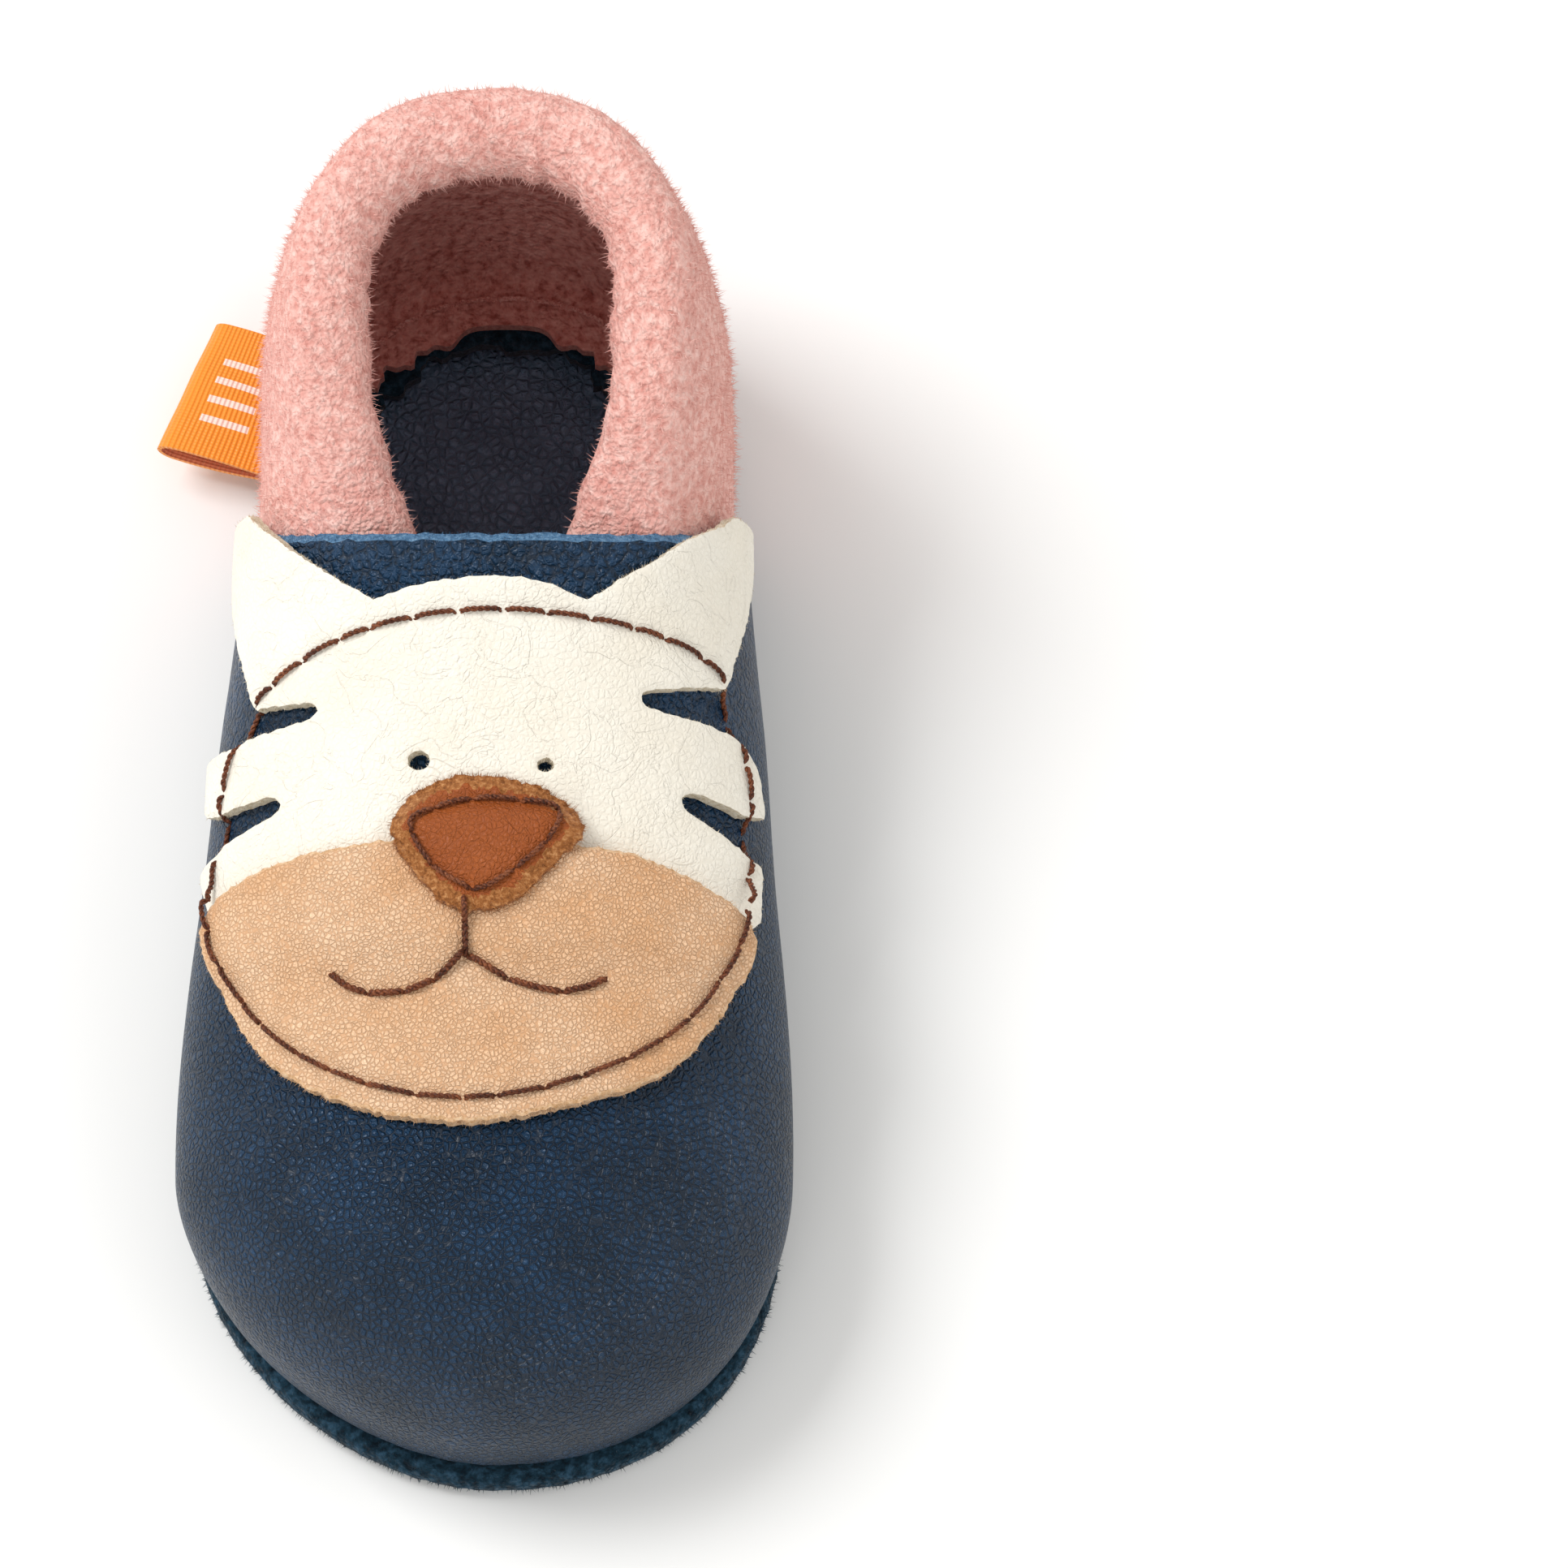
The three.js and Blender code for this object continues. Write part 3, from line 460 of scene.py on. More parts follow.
def spline(points: Pairs, step: float, closed: bool = False) -> np.ndarray:
    """Run a centripetal curve through 2-D points and space points evenly along it.

    Args:
        points: the places that the curve passes.
        step: distance between the points returned.
        closed: join the end to the start.

    Returns:
        Points, n by 2; a closed curve doesn't repeat its first point.
    """
    p = np.array(points, float)
    before, after = (p[-1:], p[:2]) if closed else (2 * p[:1] - p[1:2], 2 * p[-1:] - p[-2:-1])
    p = np.concatenate([before, p, after])
    dense = []
    for i in range(1, len(p) - 2):
        p0, p1, p2, p3 = p[i - 1 : i + 3]
        t0 = 0.0
        runs = ((p0, p1), (p1, p2), (p2, p3))
        t1, t2, t3 = np.cumsum([max(np.linalg.norm(b - a), 1e-6) ** 0.5 for a, b in runs])
        t = np.linspace(t1, t2, 40, endpoint=False)[:, None]
        a1 = ((t1 - t) * p0 + (t - t0) * p1) / (t1 - t0)
        a2 = ((t2 - t) * p1 + (t - t1) * p2) / (t2 - t1)
        a3 = ((t3 - t) * p2 + (t - t2) * p3) / (t3 - t2)
        b1 = ((t2 - t) * a1 + (t - t0) * a2) / (t2 - t0)
        b2 = ((t3 - t) * a2 + (t - t1) * a3) / (t3 - t1)
        dense.append(((t2 - t) * b1 + (t - t1) * b2) / (t2 - t1))
    dense.append(p[-2:-1] if not closed else p[1:2])
    curve = np.concatenate(dense)
    return resample(curve, step, drop_last=closed)


def resample(curve: np.ndarray, step: float, drop_last: bool = False) -> np.ndarray:
    """Space points evenly, about step apart, along a chain of points."""
    walked = np.concatenate([[0], np.cumsum(np.linalg.norm(np.diff(curve, axis=0), axis=1))])
    count = max(2, round(walked[-1] / step) + 1)
    at = np.linspace(0, walked[-1], count)
    out = np.stack([np.interp(at, walked, curve[:, i]) for i in range(curve.shape[1])], -1)
    return out[:-1] if drop_last else out


def near(points: np.ndarray, chain: np.ndarray) -> np.ndarray:
    """Return each point's distance to the closest point of a finely spaced chain."""
    best = np.full(len(points), 1e9)
    for start in range(0, len(chain), 64):
        away = points[:, None, :2] - chain[None, start : start + 64, :2]
        best = np.minimum(best, np.min(np.hypot(away[..., 0], away[..., 1]), axis=1))
    return best


def inside(points: np.ndarray, polygon: np.ndarray) -> np.ndarray:
    """Return which 2-D points lie inside a polygon."""
    x, y = points[:, 0], points[:, 1]
    hit = np.zeros(len(points), bool)
    for (x0, y0), (x1, y1) in zip(polygon, np.roll(polygon, -1, axis=0)):
        if y0 == y1:
            continue
        cross = (y0 > y) != (y1 > y)
        hit ^= cross & (x < (x1 - x0) * (y - y0) / (y1 - y0) + x0)
    return hit


def turn_sign(loop: np.ndarray) -> int:
    """Return 1 for a loop that runs anticlockwise and -1 for one that runs clockwise."""
    area = np.sum(loop[:, 0] * np.roll(loop[:, 1], -1) - loop[:, 1] * np.roll(loop[:, 0], -1))
    return 1 if area > 0 else -1


def lifted(points: np.ndarray) -> np.ndarray:
    """Return 2-D points as 3-D points at height 0."""
    return np.concatenate([points, np.zeros((len(points), 1))], 1)


def random_signed(count: int, seed: int) -> np.ndarray:
    """Return repeatable random numbers in -1..1."""
    return np.random.default_rng(seed).uniform(-1, 1, count)


def level(height: float) -> Height:
    """Return the height function of a leather that lies at one height all over."""
    return lambda a, y: height + 0 * a


@dataclass
class CutLeather:
    """A flat leather shape: cut out, laid on the form, with a rounded top edge and a fibrous cut side."""

    name: str
    outline: np.ndarray
    under: Height
    over: Height
    holes: list[np.ndarray] = field(default_factory=list)
    step: float = 0.6
    ragged: float = 0.1
    bevel: float = 0.16
    exact: list[tuple[tuple[float, float], tuple[float, float]]] = field(default_factory=list)
    grooves: list[np.ndarray] = field(default_factory=list)
    groove_depth: float = 0.3
    buckle: float = 0.06
    worn: float = 0.32  # width of the rounded rim
    frayed: float = 0.0  # width of the rim whose face is rubbed to fibres
    fibres: int = 500
    fibre_length: float = 0.55
    ring_inset: float = 0.32  # a ring of points follows the cut line at this distance
    row: float = 0.87  # rows of the triangle grid are this share of a step apart
    seed: int = 1

    def _is_exact(self, points: np.ndarray) -> np.ndarray:
        """Return which outline points lie on an edge that must stay where it was cut."""
        hit = np.zeros(len(points), bool)
        for p, q in self.exact:
            p, q = np.array(p), np.array(q)
            along_line = np.clip(((points - p) @ (q - p)) / ((q - p) @ (q - p)), 0, 1)
            hit |= np.linalg.norm(points - (p + along_line[:, None] * (q - p)), axis=1) < 0.06
        return hit

    def _rough(self, chain: np.ndarray, amount: float) -> tuple[np.ndarray, np.ndarray]:
        """Return the cut line with its wobble, and its outward normals."""
        run = np.roll(chain, -1, 0) - np.roll(chain, 1, 0)
        out = np.stack([run[:, 1], -run[:, 0]], -1)
        out = unit(out)
        p3 = lifted(chain)
        waves = ripple(p3, 3.1, self.seed) + ripple(p3, 1.1, self.seed + 5)
        waves = waves + random_signed(len(chain), self.seed)
        wobble = np.where(self._is_exact(chain), 0, 0.5 * waves * amount)
        return chain + out * wobble[:, None], out

    def _flat(self) -> tuple[np.ndarray, np.ndarray, np.ndarray]:
        """Return the flat mesh: points, triangles and how far each point is inside the cut line."""
        outer, out = self._rough(self.outline, self.ragged)
        loops, rings = [outer], [outer - turn_sign(outer) * out * self.ring_inset]
        for hole in self.holes:
            rough, hole_out = self._rough(hole, self.ragged * 0.8)
            loops.append(rough)
            rings.append(rough + turn_sign(rough) * hole_out * self.ring_inset)
        low, high = outer.min(0), outer.max(0)
        row = self.step * self.row
        nx, ny = int((high[0] - low[0]) / self.step) + 2, int((high[1] - low[1]) / row) + 2
        gx, gy = np.meshgrid(np.arange(nx), np.arange(ny))
        seeds = np.stack([low[0] + (gx + 0.5 * (gy % 2)) * self.step, low[1] + gy * row], -1).reshape(-1, 2)
        seeds = np.concatenate([*rings, seeds])
        edge = np.concatenate([resample(np.concatenate([lp, lp[:1]]), 0.2) for lp in loops])
        keep = inside(seeds, outer) & (near(seeds, edge) > 0.24)
        for loop in loops[1:]:
            keep &= ~inside(seeds, loop)
        ring_count = sum(len(r) for r in rings)
        tidy = np.ones(len(seeds), bool)
        tidy[ring_count:] = near(seeds[ring_count:], edge) > self.ring_inset + 0.45 * self.step
        seeds = seeds[keep & tidy]
        coords = np.concatenate([*loops, seeds])
        edges, start = [], 0
        for loop in loops:
            n = len(loop)
            edges += [(start + k, start + (k + 1) % n) for k in range(n)]
            start += n
        corners = [Vector(c) for c in coords.tolist()]
        verts, _, faces, *_ = geometry.delaunay_2d_cdt(corners, edges, [], 0, 1e-5)
        points = np.array([tuple(v) for v in verts])
        tris = np.array([f for f in faces if len(f) == 3])
        middle = points[tris].mean(1)
        good = inside(middle, outer)
        for loop in loops[1:]:
            good &= ~inside(middle, loop)
        return points, tris[good], near(points, edge)

    def build(self) -> bpy.types.Object:
        """Cut the leather and lay it on the form.

        Returns:
            The piece, with finish 0 on its face, 1 on its underside and 2 on its cut side.
        """
        points, tris, depth = self._flat()
        a, y = points[:, 0], points[:, 1]
        high, low = self.over(a, y), self.under(a, y)
        p3 = lifted(points)
        waves = ripple(p3, 9, self.seed) + 0.5 * ripple(p3, 3.5, self.seed + 2)
        high = high + self.buckle * waves * ease(depth / 1.5)
        for groove in self.grooves:
            high = high - self.groove_depth * np.exp(-((near(points, groove) / 0.85) ** 2))
        exact = self._is_exact(points)
        high = high - np.where(exact, 0, self.bevel * (1 - ease(depth / self.worn)))
        shell = Shell(self.name)
        top = shell.add(LAST.wrap(a, y, high), np.zeros((0, 3), int))
        rubbed = depth[tris].mean(1) < self.frayed * (1 + 0.35 * ripple(p3[tris].mean(1), 2.2, self.seed + 1))
        shell.weave(tris[~rubbed] + top, 0)
        shell.weave(tris[rubbed] + top, 2)
        bottom = shell.add(LAST.wrap(a, y, low), tris[:, ::-1], 1)
        pairs: dict[tuple[int, int], tuple[int, int]] = {}
        for t in tris.tolist():
            for m, n in ((t[0], t[1]), (t[1], t[2]), (t[2], t[0])):
                if (n, m) in pairs:
                    del pairs[(n, m)]
                else:
                    pairs[(m, n)] = (m, n)
        rim = np.array(list(pairs.values()))
        jag = random_signed(len(points), self.seed + 9) * self.ragged * 0.9
        centre = points.mean(0)
        away = unit(points - centre)
        side = np.where(exact[:, None], points, points + away * jag[:, None])
        mid = shell.add(LAST.wrap(side[:, 0], side[:, 1], (high + low) / 2), np.zeros((0, 4), int))
        for upper, lower in ((top, mid), (mid, bottom)):
            wall = [upper + rim[:, 1], upper + rim[:, 0], lower + rim[:, 0], lower + rim[:, 1]]
            shell.weave(np.stack(wall, -1), 2)
        self._add_fibres(shell, points, rim[~(exact[rim[:, 0]] & exact[rim[:, 1]])], high, low)
        return shell.build(sharp=48)

    def _add_fibres(self, shell: Shell, points: np.ndarray, rim: np.ndarray, high: np.ndarray,
                    low: np.ndarray) -> None:
        """Let loose fibres stand out of the cut side."""
        rng = np.random.default_rng(self.seed + 50)
        pick = rim[rng.integers(0, len(rim), self.fibres)]
        p, q = points[pick[:, 0]], points[pick[:, 1]]
        run = unit(q - p)
        out = np.stack([run[:, 1], -run[:, 0]], -1)
        band = max(0.12, self.frayed * 0.8)
        spot = p + (q - p) * rng.random((self.fibres, 1)) - out * rng.random((self.fibres, 1)) * band
        share = rng.uniform(0.25, 1.0, self.fibres)
        level = low[pick[:, 0]] + (high[pick[:, 0]] - low[pick[:, 0]]) * share
        root = LAST.wrap(spot[:, 0], spot[:, 1], level)
        away = LAST.wrap(spot[:, 0] + out[:, 0], spot[:, 1] + out[:, 1], level + 0.5 * share) - root
        away = unit(away)
        add_nap(shell, root, away, (0.2, self.fibre_length), radius=0.05, lean=0.9, finish=2,
                seed=self.seed + 60)


def tube(shell: Shell, centre: np.ndarray, normal: np.ndarray, radius: np.ndarray | float, sides: int = 6,
         finish: int = 0) -> None:
    """Add a round closed tube along a chain of points.

    Args:
        shell: the piece to add to.
        centre: points along the middle, n by 3.
        normal: a direction roughly square to the run at each point.
        radius: radius along the tube.
        sides: faces round the tube.
        finish: material number.
    """
    run = np.gradient(centre, axis=0)
    run = unit(run)
    normal = normal - np.sum(normal * run, 1)[:, None] * run
    normal = unit(normal)
    across = np.cross(run, normal)
    t = np.linspace(0, 2 * math.pi, sides, endpoint=False)
    size = np.broadcast_to(radius, (len(centre),))[:, None, None]
    c, s = np.cos(t)[None, :, None], np.sin(t)[None, :, None]
    ring = centre[:, None] + size * (c * normal[:, None] + s * across[:, None])
    n = len(centre)
    low, k = np.arange(n - 1)[:, None] * sides, np.arange(sides)[None, :]
    ahead = (k + 1) % sides
    faces = np.stack([low + k, low + ahead, low + sides + ahead, low + sides + k], -1)
    start = shell.add(ring, faces.reshape(-1, 4), finish)
    for row, place, flip in ((0, centre[:1], 1), (n - 1, centre[-1:], -1)):
        hub = shell.add(place, np.zeros((0, 3), int))
        first = start + row * sides
        cap = np.stack([first + ahead[0], first + k[0], np.full(sides, hub)], -1)
        shell.weave(cap[:, ::flip], finish)


@dataclass
class Stitching:
    """A run of hand-sized stitches in two-ply twisted thread, each diving into the leather at both ends."""

    name: str
    chain: np.ndarray
    up: np.ndarray
    stitch: float = 4.3
    gap: float = 0.12
    ply: float = 0.17
    twist: float = 1.35
    lift: float = 0.2
    dive: float = 0.6
    uneven: float = 0.18
    seed: int = 3

    def build(self) -> bpy.types.Object:
        """Make the stitches as one piece."""
        shell = Shell(self.name)
        walked = np.concatenate([[0], np.cumsum(np.linalg.norm(np.diff(self.chain, axis=0), axis=1))])
        count = max(1, round(walked[-1] / self.stitch))
        length = walked[-1] / count
        jitter = random_signed(count + 1, self.seed) * self.uneven * length
        jitter[[0, -1]] = 0
        for i in range(count):
            begin, end = i * length + jitter[i], (i + 1) * length + jitter[i + 1]
            s = np.linspace(begin + self.gap / 2, end - self.gap / 2, 26)
            spot = np.stack([np.interp(s, walked, self.chain[:, k]) for k in range(3)], -1)
            up = np.stack([np.interp(s, walked, self.up[:, k]) for k in range(3)], -1)
            t = np.linspace(0, 1, len(s))
            ends = np.exp(-((t / 0.085) ** 2)) + np.exp(-(((1 - t) / 0.085) ** 2))
            rise = self.lift + 0.12 * np.sin(math.pi * t) - self.dive * ends
            self._plies(shell, spot + up * rise[:, None], up, s, i)
        return shell.build(sharp=60, merge=0.001)

    def _plies(self, shell: Shell, mid: np.ndarray, up: np.ndarray, s: np.ndarray, turn_at: float) -> None:
        """Twist two plies round the middle of a stitch."""
        run = np.gradient(mid, axis=0)
        run = unit(run)
        up = up - np.sum(up * run, 1)[:, None] * run
        up = unit(up)
        across = np.cross(run, up)
        for k in (0, 1):
            turn = 2 * math.pi * s / self.twist + k * math.pi + turn_at
            spot = mid + 0.8 * self.ply * (np.cos(turn)[:, None] * up + np.sin(turn)[:, None] * across)
            tube(shell, spot, up, self.ply, 6)


def laid_line(points: Pairs, height: Height, step: float = 0.4) -> tuple[np.ndarray, np.ndarray]:
    """Lay a drawn stitch line on the leathers.

    Args:
        points: the line in flat leather coordinates.
        height: height of the leather's face above the form.
        step: spacing of the points returned.

    Returns:
        Points on the leather, and the upward directions there.
    """
    line = spline(points, step)
    a, y = line[:, 0], line[:, 1]
    h = height(a, y)
    spot, above = LAST.wrap(a, y, h), LAST.wrap(a, y, h + 1)
    return spot, above - spot


def add_nap(shell: Shell, roots: np.ndarray, normals: np.ndarray, length: tuple[float, float],
            radius: float = 0.045, lean: float = 0.9, comb: tuple[float, float, float] = (0, 0, 0),
            finish: int = 0, seed: int = 7) -> None:
    """Add short tapering fibres that stand out of the leather.

    Args:
        shell: the piece to add to.
        roots: points on the leather.
        normals: outward directions there.
        length: shortest and longest fibre.
        radius: radius at the root.
        lean: how far the fibres fall over, 0 upright.
        comb: a direction that the fibres are brushed in.
        finish: material number.
        seed: makes the fibres repeatable.
    """
    rng = np.random.default_rng(seed)
    n = len(roots)
    away = normals + lean * rng.normal(size=(n, 3)) * 0.6 + np.array(comb)
    away -= np.minimum(np.sum(away * normals, 1) - 0.15, 0)[:, None] * normals
    away = unit(away)
    size = length[0] + (length[1] - length[0]) * rng.random(n) ** 2.2
    helper = np.where(np.abs(away[:, 2:3]) < 0.8, [[0, 0, 1]], [[1, 0, 0]])
    side = np.cross(away, helper)
    side = unit(side)
    other = np.cross(away, side)
    base = roots - normals * 0.12
    tip = roots + away * size[:, None]
    ring = [base + radius * (math.cos(t) * side + math.sin(t) * other) for t in (0, 2.094, 4.189)]
    points = np.stack([*ring, tip], 1)
    f = np.arange(n)[:, None] * 4
    faces = np.stack([f + [0, 1, 3], f + [1, 2, 3], f + [2, 0, 3], f + [0, 2, 1]], 1).reshape(-1, 3)
    shell.add(points, faces, finish)


def scatter(outer: np.ndarray, count: int, seed: int,
            weight: np.ndarray | None = None) -> tuple[np.ndarray, np.ndarray]:
    """Scatter points over a grid surface in proportion to area.

    Args:
        outer: grid of points, rows by columns by 3.
        count: how many points.
        seed: makes the choice repeatable.
        weight: extra likelihood for each cell.

    Returns:
        The points and the surface's outward directions.
    """
    rng = np.random.default_rng(seed)
    a, b, c = outer[:-1, :-1], outer[1:, :-1], outer[:-1, 1:]
    cross = np.cross(b - a, c - a)
    area = np.linalg.norm(cross, axis=-1)
    chance = (area if weight is None else area * weight).ravel()
    pick = rng.choice(len(chance), count, p=chance / chance.sum())
    i, j = np.unravel_index(pick, area.shape)
    s, t = rng.random((count, 1)), rng.random((count, 1))
    spot = (outer[i, j] * (1 - s) * (1 - t) + outer[i + 1, j] * s * (1 - t) + outer[i, j + 1] * (1 - s) * t
            + outer[i + 1, j + 1] * s * t)
    normal = cross[i, j] / (area[i, j][:, None] + 1e-12)
    return spot, normal


def blank_material(
        name: str) -> tuple[bpy.types.Material, bpy.types.NodeTree, bpy.types.Node, bpy.types.NodeSocket]:
    """Start a material.

    Args:
        name: what the real material is called.

    Returns:
        The material, its node tree, its shader node and the object coordinates.
    """
    material = bpy.data.materials.new(name)
    material.use_nodes = True
    tree = material.node_tree
    tree.nodes.clear()
    shader = add_node(tree, "BsdfPrincipled")
    add_node(tree, "OutputMaterial", Surface=shader.outputs["BSDF"])
    return material, tree, shader, add_node(tree, "TexCoord").outputs["Object"]


def noise(tree: bpy.types.NodeTree, at: bpy.types.NodeSocket, size: float, detail: float = 2.0,
          output: str = "Fac", **settings: float) -> bpy.types.NodeSocket:
    """Add cloudy noise with features of about size millimetres and return its value or colour."""
    inputs = {"Scale": 1 / (size * MM), "Detail": detail, **settings}
    return add_node(tree, "TexNoise", inputs, Vector=at).outputs[output]


def fitted(tree: bpy.types.NodeTree, value: bpy.types.NodeSocket, settings: dict) -> bpy.types.NodeSocket:
    """Map a value from one range to another; inputs 1 and 2 are the old range, 3 and 4 the new one."""
    return add_node(tree, "MapRange", settings, Value=value).outputs[0]


def three_tones(tree: bpy.types.NodeTree, value: bpy.types.NodeSocket, tones: tuple[str, str, str],
                middle: float) -> bpy.types.NodeSocket:
    """Colour a value in 0..1 with a dark, a middle and a light tone."""
    ramp = add_node(tree, "ValToRGB", Fac=value)
    stops = ramp.color_ramp.elements
    stops[0].color, stops[1].color = linear(tones[0]), linear(tones[2])
    stops.new(middle).color = linear(tones[1])
    return ramp.outputs["Color"]


def emboss(tree: bpy.types.NodeTree, shader: bpy.types.Node, height: bpy.types.NodeSocket, depth: float,
           strength: float = 1.0) -> None:
    """Give the surface a relief that is depth millimetres deep."""
    bump = add_node(tree, "Bump", {"Distance": depth * MM, "Strength": strength}, Height=height)
    tree.links.new(bump.outputs[0], shader.inputs["Normal"])


@dataclass(frozen=True)
class GrainLeather:
    """Drum-dyed, milled cowhide with its natural pebble grain: low gloss on the pebbles, and painted shade
    darkening the creases between them.
    """

    name: str
    colour: str
    # painted shade: the colour laid in the creases between pebbles
    crease: str
    lit: str
    cell: float = 1.0  # width of a pebble
    depth: float = 0.11
    roughness: float = 0.52
    coarse_from: float | None = None  # the grain is stretched coarser behind this place along the foot
    crease_shade_mix: float = 0.75
    specular: float = 0.4
    wrinkle: float = 0.0  # strength of the fine creases that cross the hide, a few millimetres apart

    def material(self) -> bpy.types.Material:
        """Return the material with its node tree."""
        material, tree, shader, at = blank_material(self.name)
        # no two pebbles alike: the pattern is pushed about by a slow noise
        push = add_node(tree, "TexNoise", {"Scale": 1 / (3.2 * self.cell * MM), "Detail": 2.0}, Vector=at)
        shift = add_node(tree, "VectorMath", {"operation": "SCALE", "Scale": 1.1 * self.cell * MM},
                         in0=push.outputs["Color"])
        warped = add_node(tree, "VectorMath", {"operation": "ADD"}, in0=at, in1=shift.outputs[0]).outputs[0]
        heights = []
        for size, seed in ((self.cell, 0.0), (self.cell * 0.55, 0.7), (self.cell * 1.9, 1.9)):
            place = add_node(tree, "VectorMath", {"operation": "ADD", 1: (seed, seed * 0.3, 0)},
                             in0=warped).outputs[0]
            cells = add_node(tree, "TexVoronoi", {"feature": "DISTANCE_TO_EDGE", "Scale": 1 / (size * MM)},
                             Vector=place)
            away = {"interpolation_type": "SMOOTHSTEP", 1: 0.0, 2: 0.24}
            heights.append(fitted(tree, cells.outputs["Distance"], away))
        pebbles = add_node(tree, "Math", {"operation": "MULTIPLY"}, in0=heights[0],
                           in1=add_node(tree, "MapRange", {3: 0.62}, Value=heights[1]).outputs[0]).outputs[0]
        if self.coarse_from is not None:
            y = add_node(tree, "SeparateXYZ", Vector=at).outputs["Y"]
            rear = fitted(tree, y, {"interpolation_type": "SMOOTHSTEP", 1: self.coarse_from * MM,
                                               2: (self.coarse_from + 45) * MM, 4: 0.55})
            pebbles = add_node(tree, "Mix", {"data_type": "FLOAT"}, in0=rear, in2=pebbles,
                               in3=heights[2]).outputs[0]
        pores = noise(tree, at, 0.35, 3.0)
        patches = noise(tree, at, 9, 4.0)
        height = add_node(tree, "Math", {"operation": "MULTIPLY_ADD", 1: 0.3}, in0=pores,
                          in2=pebbles).outputs[0]
        folds = noise(tree, at, 5.5, 3.0, Distortion=1.2)
        away = add_node(tree, "Math", {"operation": "SUBTRACT", 1: 0.5}, in0=folds).outputs[0]
        ridge = add_node(tree, "Math", {"operation": "ABSOLUTE"}, in0=away).outputs[0]
        sunk = {"interpolation_type": "SMOOTHSTEP", 1: 0.0, 2: 0.022, 3: -self.wrinkle, 4: 0.0}
        crease = fitted(tree, ridge, sunk)
        height = add_node(tree, "Math", {"operation": "ADD"}, in0=height, in1=crease).outputs[0]
        base = add_node(tree, "Mix", {"data_type": "RGBA", 6: linear(self.colour), 7: linear(self.lit)},
                        in0=fitted(tree, patches, {1: 0.35, 2: 0.68})).outputs[2]
        # painted shade: the colour darkens towards the crease tone where the pebbles fall away
        line = fitted(tree, pebbles, {1: 0.0, 2: 0.55, 3: self.crease_shade_mix, 4: 0.0})
        colour = add_node(tree, "Mix", {"data_type": "RGBA", 7: linear(self.crease)}, in0=line,
                          in6=base).outputs[2]
        tree.links.new(colour, shader.inputs["Base Color"])
        gloss = {1: 0.3, 2: 0.7, 3: self.roughness - 0.06, 4: self.roughness + 0.08}
        tree.links.new(fitted(tree, pores, gloss), shader.inputs["Roughness"])
        emboss(tree, shader, height, self.depth)
        shader.inputs["Specular IOR Level"].default_value = self.specular
        return material


@dataclass(frozen=True)
class Suede:
    """Split leather, buffed to a nap: no gloss, a pale bloom at grazing angles, brush strokes."""

    name: str
    colour: str
    dark: str
    light: str
    nap: float = 0.45  # width of a tuft of the nap
    depth: float = 0.3
    sheen: float = 0.35
    sheen_tint: str = "ffffff"

    def material(self) -> bpy.types.Material:
        """Return the material with its node tree."""
        material, tree, shader, at = blank_material(self.name)
        lie = noise(tree, at, 5, 2.0, "Color")
        shift = add_node(tree, "VectorMath", {"operation": "SCALE", "Scale": 1.6 * MM}, in0=lie).outputs[0]
        combed = add_node(tree, "VectorMath", {"operation": "ADD"}, in0=at, in1=shift).outputs[0]
        tufts = noise(tree, combed, 2 * self.nap, 4.0, Roughness=0.6)
        strands = add_node(tree, "TexVoronoi", {"Scale": 1 / (self.nap * MM)},
                           Vector=combed).outputs["Distance"]
        brush = noise(tree, at, 7, 3.0)
        tone = add_node(tree, "Math", {"operation": "MULTIPLY_ADD", 1: 0.16}, in0=brush, in2=tufts).outputs[0]
        shade = fitted(tree, tone, {1: 0.4, 2: 0.76})
        colour = three_tones(tree, shade, (self.dark, self.colour, self.light), 0.48)
        tree.links.new(colour, shader.inputs["Base Color"])
        height = add_node(tree, "Math", {"operation": "MULTIPLY_ADD", 1: -0.45}, in0=strands,
                          in2=tufts).outputs[0]
        emboss(tree, shader, height, self.depth)
        for socket, value in {"Roughness": 0.95, "Specular IOR Level": 0.12, "Sheen Weight": self.sheen,
                              "Sheen Roughness": 0.5, "Sheen Tint": linear(self.sheen_tint)}.items():
            shader.inputs[socket].default_value = value
        return material


@dataclass(frozen=True)
class CutEdge:
    """The cut side of a hide: packed fibres, matt, streaked through its thickness."""

    name: str
    colour: str
    dark: str
    light: str

    def material(self) -> bpy.types.Material:
        """Return the material with its node tree."""
        material, tree, shader, at = blank_material(self.name)
        fibres = noise(tree, at, 0.5, 5.0, Roughness=0.75)
        shade = fitted(tree, fibres, {1: 0.32, 2: 0.7})
        colour = three_tones(tree, shade, (self.dark, self.colour, self.light), 0.5)
        tree.links.new(colour, shader.inputs["Base Color"])
        emboss(tree, shader, fibres, 0.25)
        for socket, value in {"Roughness": 0.92, "Specular IOR Level": 0.15, "Sheen Weight": 0.15}.items():
            shader.inputs[socket].default_value = value
        return material


@dataclass(frozen=True)
class Yarn:
    """Bonded sewing thread: two plies with a slight gloss, fine filaments along the twist."""

    name: str
    colour: str
    dark: str
    light: str

    def material(self) -> bpy.types.Material:
        """Return the material with its node tree."""
        material, tree, shader, at = blank_material(self.name)
        filament = noise(tree, at, 0.22, 3.0)
        shade = noise(tree, at, 2.5)
        mixed = add_node(tree, "Math", {"operation": "MULTIPLY_ADD", 1: 0.6}, in0=shade,
                         in2=filament).outputs[0]
        colour = three_tones(tree, fitted(tree, mixed, {1: 0.6, 2: 1.0}),
                             (self.dark, self.colour, self.light), 0.5)
        tree.links.new(colour, shader.inputs["Base Color"])
        emboss(tree, shader, filament, 0.05)
        shader.inputs["Roughness"].default_value = 0.55
        shader.inputs["Specular IOR Level"].default_value = 0.3
        return material


